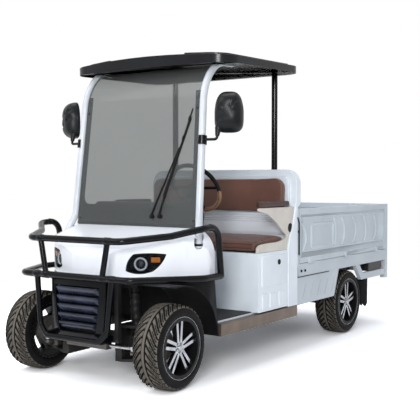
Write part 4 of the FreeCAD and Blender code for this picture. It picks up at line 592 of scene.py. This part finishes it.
hoop_line = hoop_half + [(-x, y, z) for x, y, z in hoop_half[::-1]]
tube(form, bend(hoop_line, (0.05, 0.04, 0.04, 0.05)), 0.016)
for sign in (1, -1):
    bmesh.ops.create_cube(form, size=1, matrix=Matrix.Translation((0.2 * sign, -1.4598,
            0.27)) @ Matrix.Diagonal((0.03, 0.0993, 0.036, 1)))
as_piece("bull_bar_tube", form, [gloss_black], "cart", "gloss_black", 40, ("bull_bar",))


# Grille: five rounded louvres pressed in one navy sheet, in a black surround that narrows downwards.
# It hangs between the nose posts behind the hoop of the bull bar.

louvre_navy = coat("louvre_navy", tone(42, 47, 64), tone(26, 29, 41), (0.16, 0.24), 7, 260, 0.1, 0.0004,
        specular=0.3)
louvre_profile = [(0.030, -0.0020), (0.014, 0.0000), (0.004, -0.0012), (0.000, -0.0050),
        (0.001, -0.0110), (0.006, -0.0200),
                  (0.012, -0.0290), (0.017, -0.0360), (0.021, -0.0400), (0.030, -0.0440)]
form = bmesh.new()
for number in range(5):
    top = 0.546 - number * 0.049
    rows = []
    for back, drop in louvre_profile:
        z = top + drop
        half = 0.136 + (z - 0.30) / 0.25 * 0.026
        row = []
        for share in np.linspace(-1, 1, 25):
            end = max(0.0, (abs(share) - 0.95) / 0.05)
            row.append(form.verts.new((half * share, -1.4790 + back + (0.030 - back) * end ** 2,
                    z - 0.006 * end)))
        rows.append(row)
    for first, second in zip(rows, rows[1:]):
        for a, b, c, e in zip(first, first[1:], second[1:], second):
            form.faces.new((a, b, c, e))
as_piece("grille_louvres", form, [louvre_navy], "cart", "grille_black", 60)

form = bmesh.new()
outer_rim = [(0.200, 0.584), (0.201, 0.480), (0.184, 0.300), (0.166, 0.266), (0.140, 0.261)]
inner_rim = [(0.164, 0.552), (0.163, 0.480), (0.140, 0.310), (0.132, 0.298), (0.120, 0.294)]
outer_rim = outer_rim + [(-x, z) for x, z in outer_rim[::-1]]
inner_rim = inner_rim + [(-x, z) for x, z in inner_rim[::-1]]
loops = []
for rim_points, y in ((outer_rim, -1.444), (outer_rim, -1.458), (inner_rim, -1.470), (inner_rim, -1.440)):
    loops.append([form.verts.new((x, y, z)) for x, z in rim_points])
walled(form, loops + loops[:1])
back_plate = [form.verts.new((x, -1.436, z)) for x, z in inner_rim]
form.faces.new(back_plate)
rear = [form.verts.new((x, -1.4100, z)) for x, z in outer_rim]
front = [form.verts.new((x, -1.444, z)) for x, z in outer_rim]
walled(form, (front, rear))
as_piece("grille_surround", form, [gloss_black], "cart", "grille_black", 30, ("grille",), arris=0.003)


# Headlamps: a teardrop cover of clear polycarbonate over a black bowl, each with a projector in a
# ring and an amber indicator at the outer end. The ring's pale colour is a painted reflection that
# stands in for bright metal. The bowl is clipped to the back of the cowl.

lamp_rim = coat("lamp_rim", tone(18, 18, 20), tone(11, 11, 12), (0.3, 0.4), 12, 300, 0.15, 0.0004)
# Pale and not metal: a painted reflection for the bright ring round each projector.
lamp_ring_painted_glint = coat("lamp_ring_painted_glint", tone(222, 223, 226), tone(206, 208, 212), (0.2, 0.3), 20, 500, 0.1,
        0.0003)
amber = coat("amber_lens", tone(232, 140, 52), tone(204, 112, 34), (0.14, 0.22), 30, 500, 0.2, 0.0006)
glass_bead = coat("projector_glass", tone(58, 62, 70), tone(30, 33, 39), (0.08, 0.14), 60, 200, 0.03,
        0.0003, specular=0.5)


def clear_sheet(name, clear, light, dark, share, rough=0.1):
    """Thin plastic sheet: what is behind it dimmed by its tint, and a share of its own face over that."""
    material, made, link = blank_material(name)
    through = made.new("ShaderNodeBsdfTransparent")
    through.inputs["Color"].default_value = clear
    skin = made.new("ShaderNodeBsdfPrincipled")
    skin.inputs["Specular IOR Level"].default_value = 0.35
    place = made.new("ShaderNodeTexCoord")
    film = made.new("ShaderNodeTexNoise")
    film.inputs["Scale"].default_value = 2.5
    shade = made.new("ShaderNodeMix")
    shade.data_type = "RGBA"
    shade.inputs["A"].default_value = dark
    shade.inputs["B"].default_value = light
    smear = made.new("ShaderNodeMapRange")
    smear.inputs["To Min"].default_value = rough
    smear.inputs["To Max"].default_value = rough + 0.06
    both = made.new("ShaderNodeMixShader")
    both.inputs[0].default_value = share
    out = made.new("ShaderNodeOutputMaterial")
    wire(link,
         (place.outputs["Object"], film.inputs["Vector"]),
         (film.outputs["Fac"], shade.inputs["Factor"]),
         (film.outputs["Fac"], smear.inputs["Value"]),
         (smear.outputs[0], skin.inputs["Roughness"]),
         (shade.outputs["Result"], skin.inputs["Base Color"]),
         (through.outputs[0], both.inputs[1]),
         (skin.outputs[0], both.inputs[2]),
         (both.outputs[0], out.inputs["Surface"]))
    return material


softened("headlamp_lenses", 0.0006, clear_sheet("lamp_clear", (0.9, 0.92, 0.94, 1), tone(30, 32, 36),
        tone(20, 22, 25), 0.12, 0.03))
softened("headlamp_buckets", 0.001, lamp_rim)
for side, sign in (("left", 1), ("right", -1)):
    form = bmesh.new()
    outward = Vector((math.sin(math.radians(25)) * sign, -math.cos(math.radians(25)), 0.0))
    centre = Vector((0.305 * sign, -1.2825, 0.676))
    ring_circle = [(0.0055 * math.sin(a), 0.0330 + 0.0055 * math.cos(a)) for a in np.linspace(0,
            2 * math.pi, 13)]
    turned(form, centre, outward, ring_circle, 40, False)
    rings = len(form.faces)
    turned(form, centre, outward, [(-0.045, 0.030), (-0.006, 0.029), (-0.002, 0.027), (-0.006, 0.024)],
            32, False)
    barrel = len(form.faces)
    turned(form, centre - outward * 0.014, outward, [(-0.004, 0.0235), (0.004, 0.0225), (0.010, 0.018),
            (0.014, 0.011), (0.0155, 0)], 28)
    bead = len(form.faces)
    bmesh.ops.create_cube(form, size=1, matrix=Matrix.Translation((0.374 * sign, -1.236, 0.700))
                          @ Matrix.Rotation(math.radians(34 * sign), 4,
                          "Z") @ Matrix.Diagonal((0.050, 0.016, 0.028, 1)))
    form.faces.ensure_lookup_table()
    for number, face in enumerate(form.faces):
        face.material_index = 0 if number < rings else 1 if number < barrel else 2 if number < bead else 3
    as_piece("lamp_unit_" + side, form, [lamp_ring_painted_glint, lamp_rim, glass_bead, amber], "cart",
            "lamp_reflector", 40)


# Screen: one rolled sheet of smoked acrylic with dark bands painted down both edges, held by screws
# and a black channel at the foot. Two white tubular struts carry it and clamp the mirrors.

strut_white = coat("strut_white", tone(196, 200, 206), tone(182, 187, 194), (0.28, 0.36), 5, 200, 0.08,
        0.0004, lacquer=0.1)
smoke_sheet = clear_sheet("smoked_acrylic", (0.60, 0.61, 0.605, 1), tone(128, 131, 130),
        tone(116, 119, 119), 0.26)
softened("windscreen", 0.0004, smoke_sheet)

edge_black = coat("screen_edge", tone(26, 27, 29), tone(18, 19, 21), (0.3, 0.4), 9, 240, 0.1, 0.0003)


def screen_at(z):
    """Front face of the sheet at a height on its straight run: half width and y."""
    share = (z - 0.8645) / (1.720 - 0.8645)
    return 0.458 + (0.4327 - 0.458) * share, front_axle + 0.284 + (0.375 - 0.284) * share


form = bmesh.new()
for sign in (-1, 1):
    rows = []
    for z in np.linspace(0.872, 1.66, 40):
        half, y = screen_at(z)
        low_round = max(0.0, 0.055 - max(0.0, z - 0.985)) / 0.055
        wide = half if z < 0.985 else 0.036 + 0.055 * (1 - math.sqrt(max(0.0, 1 - low_round ** 2)))
        rows.append([form.verts.new((sign * (half - inset), y + deep, z)) for inset in (0.001,
                wide) for deep in (0.0062, 0.0074)])
    for (a, b, c, e), (f, g, h, i) in zip(rows, rows[1:]):
        form.faces.new((a, c, h, f))
        form.faces.new((b, g, i, e))
        form.faces.new((a, f, g, b))
        form.faces.new((c, e, i, h))
half, y = screen_at(0.868)
bmesh.ops.create_cube(form, size=1,
        matrix=Matrix.Translation((0, y + 0.008, 0.8735)) @ Matrix.Diagonal((half * 2 - 0.004, 0.006,
        0.017, 1)))
for sign in (1, -1):
    for z in (0.905, 1.56):
        half, y = screen_at(z)
        turned(form, (sign * (half - 0.016), y + 0.0005, z), (0, -1, 0.11),
                [(-0.002, 0.0075), (0.0015, 0.0075), (0.003, 0.005), (0.0034, 0)], 14)
as_piece("screen_bands", form, [edge_black], "cart", "black_plastic", 40)
softened("screen_struts", 0.001, strut_white)
form = bmesh.new()
for sign in (1, -1):
    turned(form, (0.526 * sign, -1.0405, 0.752), (0, 0.06, 1),
            [(0.0, 0.0225), (0.004, 0.0255), (0.026, 0.0245), (0.030, 0.0215)], 24)
as_piece("strut_boots", form, [black_plastic], "cart", "black_plastic", 40)


# Wiper: a bottom-hinged pantograph, black, with two thin arms, a stiff holder and a rubber blade.
# The pivots come through the foot of the screen on the driver's side.

form = bmesh.new()
wiper_at = [Vector((0.142, -0.984, 0.925)), Vector((0.200, -0.984, 0.927))]
wiper_top = [Vector((0.318, -0.936, 1.330)), Vector((0.300, -0.936, 1.275))]
for foot, head in zip(wiper_at, wiper_top):
    turned(form, foot + Vector((0, 0.010, 0)), (0, -1, 0.1),
            [(-0.010, 0.013), (0.010, 0.013), (0.013, 0.009), (0.014, 0)], 18)
    tube(form, [foot, foot + (head - foot) * 0.2 + Vector((0, -0.004, 0)), head], 0.0065, 10, 0.6, 0.005)
holder_foot, holder_head = Vector((0.222, -0.960, 1.045)), Vector((0.384, -0.914, 1.500))
blade_foot, blade_head = Vector((0.205, -0.963, 0.990)), Vector((0.396, -0.911, 1.555))
tube(form, [holder_foot, holder_foot.lerp(holder_head, 0.45) + Vector((0, -0.003, 0)), holder_head],
        0.0095, 12, 0.55, 0.006)
tube(form, [blade_foot, blade_head], 0.0048, 8, 0.9, 0.0042)
for share in (0.1, 0.3, 0.5, 0.7, 0.9):
    turned(form, blade_foot.lerp(blade_head, share), (0.32, 0.08, 0.94),
            [(-0.014, 0.0060), (-0.012, 0.0080), (0.012, 0.0080), (0.014, 0.0060)], 10)
as_piece("wiper_blade_and_arms", form, [black_plastic], "cart", "black_plastic", 35, ("wiper",))


# Door mirrors: a domed shell with two pressed strakes, a bright glass on its rear face, a bent stem
# and a band that grips the strut. They are handed and stand out level with the driver's eyes.

mirror_glass = coat("mirror_glass", tone(176, 182, 190), tone(168, 174, 182), (0.03, 0.06), 4, 60, 0.0,
        0.0002, metal=1.0)
shell_black = coat("mirror_shell", tone(26, 27, 30), tone(16, 17, 19), (0.3, 0.42), 8, 320, 0.2, 0.0004,
        specular=0.16)
for side, sign in (("left", 1), ("right", -1)):
    form = bmesh.new()
    centre = Vector((0.616 * sign, -0.8755, 1.528))
    turn = Matrix.Translation(centre) @ Matrix.Rotation(math.radians(25 * sign), 4, "Z")
    rows = []
    steps = 56
    for deep in np.linspace(0, 1, 19):
        row = []
        size = 1.0 if deep < 0.02 else math.cos(math.asin(min(1, deep * 0.985)))
        size = max(0.10, size ** 0.62)
        for a in np.linspace(0, 2 * math.pi, steps, endpoint=False):
            c, s = math.cos(a), math.sin(a)
            x = 0.084 * math.copysign(abs(c) ** 0.62, c) * size
            z = 0.118 * math.copysign(abs(s) ** (0.78 if s > 0 else 0.42), s) * size
            x *= 1.0 - 0.10 * max(0.0, z / 0.118)
            dent = 0.0
            if deep > 0.25:
                for level, slope in ((0.034, 0.55), (-0.018, 0.55)):
                    dent += 0.010 * math.exp(-((z - level - slope * x * sign) / 0.008) ** 2)
            row.append(form.verts.new(turn @ Vector((x * sign, 0.041 - 0.080 * deep + dent, z))))
        rows.append(row)
    walled(form, rows)
    form.faces.new(rows[-1])
    inner = [form.verts.new(turn @ Vector((v.x, 0.041, v.z))) for v in
             [((turn.inverted() @ w.co) * 0.93) for w in rows[0]]]
    sunk = [form.verts.new(w.co + (turn.to_3x3() @ Vector((0, -0.004, 0)))) for w in inner]
    walled(form, (rows[0], inner, sunk))
    glass_face = form.faces.new(sunk)
    glass_face.material_index = 1
    strut_y = -0.9215
    stem = [(0.4897 * sign, strut_y, 1.372), (0.562 * sign, strut_y + 0.010, 1.372),
            (0.562 * sign, strut_y + 0.022, 1.425)]
    tube(form, bend(stem, (0.016,)), 0.008, 12)
    tube(form, [(0.562 * sign, strut_y + 0.014, 1.392), (0.562 * sign, strut_y + 0.026, 1.440)], 0.012,
            14, 1.0, 0.020)
    as_piece("door_mirror_" + side, form, [shell_black, mirror_glass], "cart", "gloss_black", 50)
mirror_clamps = softened("door_mirrors", 0.001, gloss_black)
form = bmesh.new()
form.from_mesh(mirror_clamps.data)
far = []
for island_vert in form.verts:
    if abs(island_vert.co.x) > 0.5165:
        far.append(island_vert)
bmesh.ops.delete(form, geom=far, context="VERTS")
bmesh.ops.holes_fill(form, edges=[edge for edge in form.edges if edge.is_boundary])
form.to_mesh(mirror_clamps.data)
form.free()


# Roof: one moulded canopy, gloss black, with a rolled lip, a raised shoulder along each side and a
# slow crown. It is screwed down on a ladder of square tube and two posts on the hoop.

roof_black = coat("roof_black", tone(24, 25, 29), tone(16, 17, 20), (0.2, 0.28), 4, 90, 0.05, 0.0006,
        specular=0.2)
softened("roof", 0.019, roof_black, steps=5)
softened("roof_frame", 0.002, gloss_black)


# Cab: a pressed tub with a ribbed rubber mat, a moulded dash, the steering wheel on its column and a
# seat box with pressed panels. The wheel's rim is black above and tan leather below.

tub_white = coat("body_white", tone(220, 227, 233), tone(210, 218, 225), (0.3, 0.4), 4, 160, 0.08, 0.0006)
sill_bronze = coat("sill_bronze", tone(106, 93, 82), tone(84, 73, 64), (0.3, 0.42), 7, 300, 0.15, 0.0004,
        metal=0.5)
underseal = coat("underseal", tone(20, 20, 21), tone(12, 12, 13), (0.6, 0.75), 12, 240, 0.6, 0.0012,
        specular=0.2)
dash_black = coat("dash_plastic", tone(50, 50, 52), tone(36, 36, 38), (0.45, 0.55), 9, 500, 0.4, 0.0005)
mat_rubber = coat("floor_rubber", tone(34, 34, 36), tone(24, 24, 26), (0.55, 0.7), 10, 300, 0.4, 0.0006)
tan_leather = coat("tan_leather", tone(146, 112, 84), tone(122, 92, 70), (0.4, 0.5), 18, 500, 0.5, 0.0005)
softened("sills", 0.004, sill_bronze, steps=3)
tub = softened("floor_pan", 0.002, tub_white)
tub.data.materials.append(underseal)
for face in tub.data.polygons:
    if face.normal.z < -0.5 or (face.center.y < -0.90 and face.normal.y < 0.3 and abs(face.normal.z) < 0.9):
        face.material_index = 1
softened("floor_mat", 0.001, mat_rubber)
softened("dashboard", 0.008, dash_black, steps=3)
hand_rim = softened("steering_wheel", 0.002, black_plastic, "hand_wheel")
hand_rim.data.materials.append(tan_leather)
low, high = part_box("steering_wheel")
middle = (low + high) / 2
for face in hand_rim.data.polygons:
    away = face.center - middle
    if away.z < -0.02 and math.hypot(away.x, math.hypot(away.y, away.z)) > 0.14:
        face.material_index = 1
softened("steering_column", 0.002, black_plastic)
softened("seat_box", 0.008, tub_white, steps=3)


def embossed(form, outline, face_x, proud, soft, corner):
    """A pressed raised panel on a plane across X: sloping sides and rounded corners."""
    (y0, y1), (z0, z1) = outline
    out = 1 if face_x > 0 else -1
    rings = []
    for inset, lift in ((0, 0.0), (soft * 0.35, proud * 0.35), (soft, proud), (soft * 1.6, proud)):
        ring = []
        radius = max(corner - inset, 0.004)
        for cy, cz, start in ((y1, z1, 0), (y0, z1, 90), (y0, z0, 180), (y1, z0, 270)):
            for step in range(6):
                a = math.radians(start + step * 18)
                my = cy + (-1 if cy == y1 else 1) * (inset + radius)
                mz = cz + (-1 if cz == z1 else 1) * (inset + radius)
                ring.append(form.verts.new((face_x + out * lift, my + radius * math.cos(a),
                        mz + radius * math.sin(a))))
        rings.append(ring)
    walled(form, rings)
    form.faces.new(rings[-1])


low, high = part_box("seat_box")
form = bmesh.new()
for face_x in (low.x, high.x):
    out = 1 if face_x > 0 else -1
    flat = face_x - out * 0.0006
    embossed(form, ((front_axle + 0.795, front_axle + 1.097), (0.474, 0.672)), flat, 0.0065, 0.0055,
            0.020)
    for start, end in ((0.800, 0.865), (0.893, 0.975), (1.010, 1.090)):
        embossed(form, ((front_axle + start, front_axle + end), (0.338, 0.436)), flat, 0.0065, 0.0055,
                0.012)
raised = len(form.faces)
for face_x in (low.x, high.x):
    out = 1 if face_x > 0 else -1
    turned(form, (face_x + out * 0.0056, front_axle + 1.005, 0.622), (out, 0, 0),
            [(-0.002, 0.017), (0.003, 0.017), (0.0045, 0.013), (0.003, 0.010), (0.003, 0)], 24)
form.faces.ensure_lookup_table()
for face in form.faces[raised:]:
    face.material_index = 1
as_piece("seat_box_pressings", form, [tub_white, black_plastic], "cart", "body_white", 50)


# Seat: foam under brown vinyl on a ply base, with an armrest on a cream moulded support at each end.
# Each cushion is blown up under its cover, which is sewn with piping along its front edge.

vinyl = coat("brown_vinyl", tone(108, 75, 64), tone(94, 64, 55), (0.42, 0.52), 5, 380, 0.5, 0.0008,
        sheen=0.1)
arm_vinyl = coat("arm_vinyl", tone(66, 44, 38), tone(50, 34, 30), (0.42, 0.52), 6, 400, 0.5, 0.0006)
cream = coat("cream_plastic", tone(204, 199, 191), tone(190, 185, 177), (0.34, 0.44), 6, 380, 0.3, 0.0005)
thread = coat("seam_thread", tone(70, 50, 44), tone(56, 40, 35), (0.6, 0.7), 60, 900, 0.4, 0.0004)


def stuffed(node, material, voxel, most, body="cart", shrink=0.006):
    """Cover and foam of a drawn cushion, blown up by pressure and then eased back to its own space."""
    form = bmesh.new()
    form.from_mesh(nodes[node].data)
    bmesh.ops.remove_doubles(form, verts=form.verts, dist=2e-5)
    low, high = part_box(node)
    middle = (low + high) / 2
    span = (high - low) / 2
    for vert in form.verts:
        vert.co = Vector([middle[i] + (vert.co[i] - middle[i]) * (1 - shrink / span[i]) for i in range(3)])
    mesh = bpy.data.meshes.new(node + "_cover")
    form.to_mesh(mesh)
    form.free()
    mesh.materials.clear()
    cover = bpy.data.objects.new(node + "_cover", mesh)
    scene.collection.objects.link(cover)
    remesh = cover.modifiers.new("even", "REMESH")
    remesh.mode = "VOXEL"
    remesh.voxel_size = voxel
    bpy.context.view_layer.update()
    even = bpy.data.meshes.new_from_object(cover.evaluated_get(bpy.context.evaluated_depsgraph_get()))
    cover.modifiers.clear()
    cover.data = even
    rest = np.array([vert.co[:] for vert in even.vertices])
    cloth = cover.modifiers.new("cover", "CLOTH")
    cloth.settings.effector_weights.gravity = 0
    cloth.settings.use_pressure = True
    cloth.settings.uniform_pressure_force = 4
    cloth.settings.tension_stiffness = 15
    cloth.settings.compression_stiffness = 15
    cloth.settings.quality = 5
    cloth.settings.mass = 0.15
    scene.frame_start = 1
    scene.frame_end = 20
    cloth.point_cache.frame_end = 20
    for moment in range(1, 21):
        scene.frame_set(moment)
    blown = bpy.data.meshes.new_from_object(cover.evaluated_get(bpy.context.evaluated_depsgraph_get()))
    now = np.array([vert.co[:] for vert in blown.vertices])
    moved = now - rest
    far = np.linalg.norm(moved, axis=1)
    peak = max(float(far.max()), 1e-6)
    now = rest + moved * np.minimum(1.0, most / peak)
    cover.modifiers.clear()
    for axis in range(3):
        lowest, highest = now[:, axis].min(), now[:, axis].max()
        fit_low, fit_high = low[axis] - 0.0015, high[axis] + 0.0015
        wide = highest - lowest
        if wide > fit_high - fit_low:
            now[:, axis] = fit_low + (now[:, axis] - lowest) * (fit_high - fit_low) / wide
        else:
            now[:, axis] += (fit_low + fit_high) / 2 - (lowest + highest) / 2
    even.vertices.foreach_set("co", now.ravel())
    even.update()
    scene.frame_set(1)
    even.materials.clear()
    even.materials.append(material)
    even.shade_smooth()
    finer = cover.modifiers.new("fine", "SUBSURF")
    finer.levels = 1
    finer.render_levels = 1
    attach(cover, body)
    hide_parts(node)
    return cover


seat_foam = stuffed("seat_cushion", vinyl, 0.009, 0.016)
back_foam = stuffed("seat_back", vinyl, 0.009, 0.014)
for side in ("left", "right"):
    softened("armrest_support_" + side, 0.003, cream, steps=3)
    stuffed("armrest_pad_" + side, arm_vinyl, 0.005, 0.006)


def laid_seam(form, cover, path, lift=0.0006, radius=0.0022):
    """Piping laid on a cover: each point of the path drops onto the nearest skin."""
    line = []
    for point in path:
        found, at, normal, _ = cover.closest_point_on_mesh(Vector(point))
        line.append(at + normal * lift if found else Vector(point))
    tube(form, line, radius, 8)


low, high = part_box("seat_cushion")
form = bmesh.new()
for z in (low.z + 0.030, high.z - 0.020):
    laid_seam(form, seat_foam, [(x, low.y - 0.01, z) for x in np.linspace(low.x + 0.02, high.x - 0.02,
            60)])
as_piece("seat_piping", form, [thread], "cart", "brown_vinyl", 60)


# Seat arch: one moulded hoop in body white with the seat's back wall, a shelf behind the armrests, a
# plug in each pillar and three pressed lines across its wall below the seat back.

softened("seat_arch", 0.008, tub_white, steps=3)
panel_profile = [(1206, 905), (1194, 904), (1190, 899), (1191, 893), (1198, 890), (1191, 887),
        (1190, 883), (1191, 880), (1198, 877),
                 (1191, 874), (1190, 870), (1191, 867), (1198, 864), (1191, 861), (1191, 856),
                 (1194, 800), (1198, 788), (1206, 778)]
form = bmesh.new()
for (y0, z0), (y1, z1) in zip(panel_profile, panel_profile[1:]):
    form.faces.new([form.verts.new((x, front_axle + y / 1000, z / 1000)) for x, y, z in
                    ((-0.545, y0, z0), (0.545, y0, z0), (0.545, y1, z1), (-0.545, y1, z1))])
bmesh.ops.remove_doubles(form, verts=form.verts, dist=1e-5)
white_faces = len(form.faces)
for sign in (1, -1):
    turned(form, (0.5855 * sign, front_axle + 1.170, 0.831), (sign, 0, 0),
            [(-0.002, 0.030), (0.0008, 0.030), (0.0012, 0.026), (0.0012, 0)], 28)
    for y, z in ((1.308, 0.536), (1.361, 0.535)):
        turned(form, (0.5975 * sign, front_axle + y, z), (sign, 0, 0),
                [(-0.002, 0.010), (0.002, 0.010), (0.0032, 0.007), (0.0032, 0)], 6)
form.faces.ensure_lookup_table()
for face in form.faces[white_faces:]:
    face.material_index = 1
as_piece("seat_wall_pressing", form, [pearl, black_plastic], "cart", "body_white", 32)
# The load bed, its gates, skirts and bumper take a darker copy of the body white: painted shade for the
# bed's sides, which face away from the lamps.
body_white_painted_shade = coat("body_white_painted_shade", tone(188, 196, 202), tone(178, 187, 194), (0.3, 0.4), 4, 160, 0.1, 0.0006)
softened("bed_body", 0.003, body_white_painted_shade)


# Load bed gates: folded steel skins with pressed ribs and a rolled top edge, hung on leaf hinges
# along the floor and held up by a lever at each front corner.

softened("tailgate", 0.002, body_white_painted_shade, "gate_rear")
gate_lines = [((1.811, 1.842, 1.825), 0.012), ((1.929, 1.986, 1.944), 0.012),
        ((2.114, 2.187, 2.130), 0.012),
              ((2.317, 2.372, 2.339), 0.012), ((2.500, 2.558, 2.518), 0.012)]


def gate_height(y, z):
    """Press depth of the gate's skin at a station and a height: 0 flat, 1 fully out."""
    tall = np.zeros_like(y)
    fade = np.clip((0.884 - z) / 0.014, 0, 1) * np.clip((z - 0.668) / 0.014, 0, 1)
    for (top, mid, low_y), half in gate_lines:
        share = (z - 0.675) / (0.878 - 0.675)
        bow = low_y + (top - low_y) * share + (mid - (top + low_y) / 2) * (1 - (2 * share - 1) ** 2)
        tall = np.maximum(tall, np.clip(1.25 - np.abs(y - bow) / half, 0, 1) * fade)
    side = np.abs(y - 1.631) - (0.175 - 0.028)
    rise = np.abs(z - 0.7605) - (0.0895 - 0.028)
    corner = np.hypot(np.maximum(side, 0), np.maximum(rise, 0))
    edge = corner + np.minimum(np.maximum(side, rise), 0) - 0.028
    ring = np.clip(1.3 - np.abs(edge + 0.010) / 0.010, 0, 1)
    tall = np.maximum(tall, ring)
    share = np.clip((z - 0.647) / (0.858 - 0.647), 0, 1)
    front = 1.3135 + 0.072 * np.sin(share * math.pi) ** 0.8
    ends = np.clip((0.862 - z) / 0.01, 0, 1) * np.clip((z - 0.655) / 0.01, 0, 1)
    tall = np.maximum(tall, np.clip(1.25 - np.abs(y - front) / 0.010, 0, 1) * ends)
    return tall


for side, sign in (("left", 1), ("right", -1)):
    node = "side_gate_" + side
    body = "gate_" + side
    form = bmesh.new()
    form.from_mesh(nodes[node].data)
    bmesh.ops.remove_doubles(form, verts=form.verts, dist=2e-5)
    for vert in form.verts:
        if vert.co.x * sign > 0.5835 and 0.655 < vert.co.z < 0.8995:
            vert.co.x = 0.5835 * sign
    gate_copy = bpy.data.meshes.new(node + "_skin")
    form.to_mesh(gate_copy)
    form.free()
    gate_copy.materials.clear()
    gate_copy.materials.append(body_white_painted_shade)
    gate_copy.shade_smooth()
    gate_copy.set_sharp_from_angle(angle=math.radians(30))
    gate = show(node + "_skin", gate_copy, (0, 0, 0), body, "body_white", node)
    low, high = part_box(node)
    across = np.arange(low.y - front_axle + 0.001, high.y - front_axle - 0.001, 0.0036)
    upward = np.arange(0.656, 0.8990, 0.0034)
    grid_y, grid_z = np.meshgrid(across, upward)
    press = gate_height(grid_y, grid_z)
    press = press * press * (3 - 2 * press)
    border = np.minimum(np.minimum(grid_y - across[0], across[-1] - grid_y),
            np.minimum(grid_z - upward[0], upward[-1] - grid_z))
    frame_rise = np.clip((0.020 - border) / 0.006, 0, 1) * 0.62
    out_by = 0.5862 + 0.0106 * np.maximum(press, frame_rise)
    out_by[border < 0.001] = 0.5832
    points = np.stack([sign * out_by, grid_y + front_axle, grid_z], -1).reshape(-1, 3)
    wide = len(across)
    index = (np.arange(len(upward) - 1)[:, None] * wide + np.arange(wide - 1)[None, :]).reshape(-1)
    faces = np.stack([index, index + 1, index + wide + 1, index + wide], -1)
    if sign < 0:
        faces = faces[:, ::-1]
    pressed = bpy.data.meshes.new(node + "_pressing")
    pressed.from_pydata(points.tolist(), [], faces.tolist())
    pressed.materials.append(body_white_painted_shade)
    pressed.shade_smooth()
    show(node + "_pressing", pressed, (0, 0, 0), body, "body_white")

form = bmesh.new()
for sign in (1, -1):
    tube(form, bend([(0.601 * sign, 0.006, 0.645), (0.601 * sign, 0.006, 0.86),
            (0.601 * sign, -0.014, 0.895)], (0.02,)), 0.0042, 10)
    turned(form, (0.596 * sign, 0.006, 0.80), (sign, 0, 0),
            [(0, 0.009), (0.006, 0.009), (0.008, 0.006), (0.008, 0)], 14)
as_piece("gate_levers", form, [black_plastic], "cart", "black_plastic", 40)


# Skirts, lamps, flaps and bumper: a slotted skirt under each side of the bed, a lamp unit at each
# rear corner with its red lens to the rear, rubber flaps and a step bumper with two hitch holes.

lamp_housing = coat("lamp_housing", tone(40, 40, 43), tone(28, 28, 31), (0.35, 0.45), 9, 260, 0.2, 0.0004)
lamp_red = coat("lamp_red", tone(168, 34, 30), tone(132, 20, 20), (0.12, 0.18), 8, 200, 0.05, 0.0004,
        lacquer=0.4)
softened("side_skirts", 0.002, body_white_painted_shade)
form = bmesh.new()
low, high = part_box("side_skirts")
# Behind each skirt's slots a thin black sheet is painted shade for the dark under the bed; a narrow black
# strip runs along the skirt's top edge.
for sign in (1, -1):
    bmesh.ops.create_cube(form, size=1, matrix=Matrix.Translation((0.5775 * sign, front_axle + 1.50,
            0.455)) @ Matrix.Diagonal((0.002, 0.40, 0.15, 1)))
    bmesh.ops.create_cube(form, size=1, matrix=Matrix.Translation((0.5905 * sign, front_axle + 1.49,
            high.z - 0.002)) @ Matrix.Diagonal((0.014, 0.46, 0.0045, 1)))
as_piece("skirt_painted_shade_and_top_strip", form, [underseal], "cart", "black_plastic", 40)
tail = softened("tail_lamps", 0.004, lamp_housing)
tail.data.materials.append(lamp_red)
for face in tail.data.polygons:
    if face.normal.y > 0.5:
        face.material_index = 1
form = bmesh.new()
for sign in (1, -1):
    outline = [(0.590, 0.3815), (0.400, 0.3815), (0.400, 0.215)]
    for tooth in range(6):
        outline += [(0.402 + tooth * 0.0313, 0.190 - 0.004 * tooth),
                (0.418 + tooth * 0.0313, 0.172 - 0.002 * tooth),
                (0.426 + tooth * 0.0313, 0.196 - 0.004 * tooth)]
    outline += [(0.590, 0.190)]
    near = [form.verts.new((x * sign, front_axle + 2.3962, z)) for x, z in outline]
    far = [form.verts.new((x * sign, front_axle + 2.4018, z)) for x, z in outline]
    form.faces.new(near)
    form.faces.new(far[::-1])
    walled(form, (near, far))
as_piece("mudflap_sheets", form, [mat_rubber], "cart", "black_plastic", 40, ("mudflaps",), arris=0.0006)
softened("rear_bumper", 0.003, body_white_painted_shade)
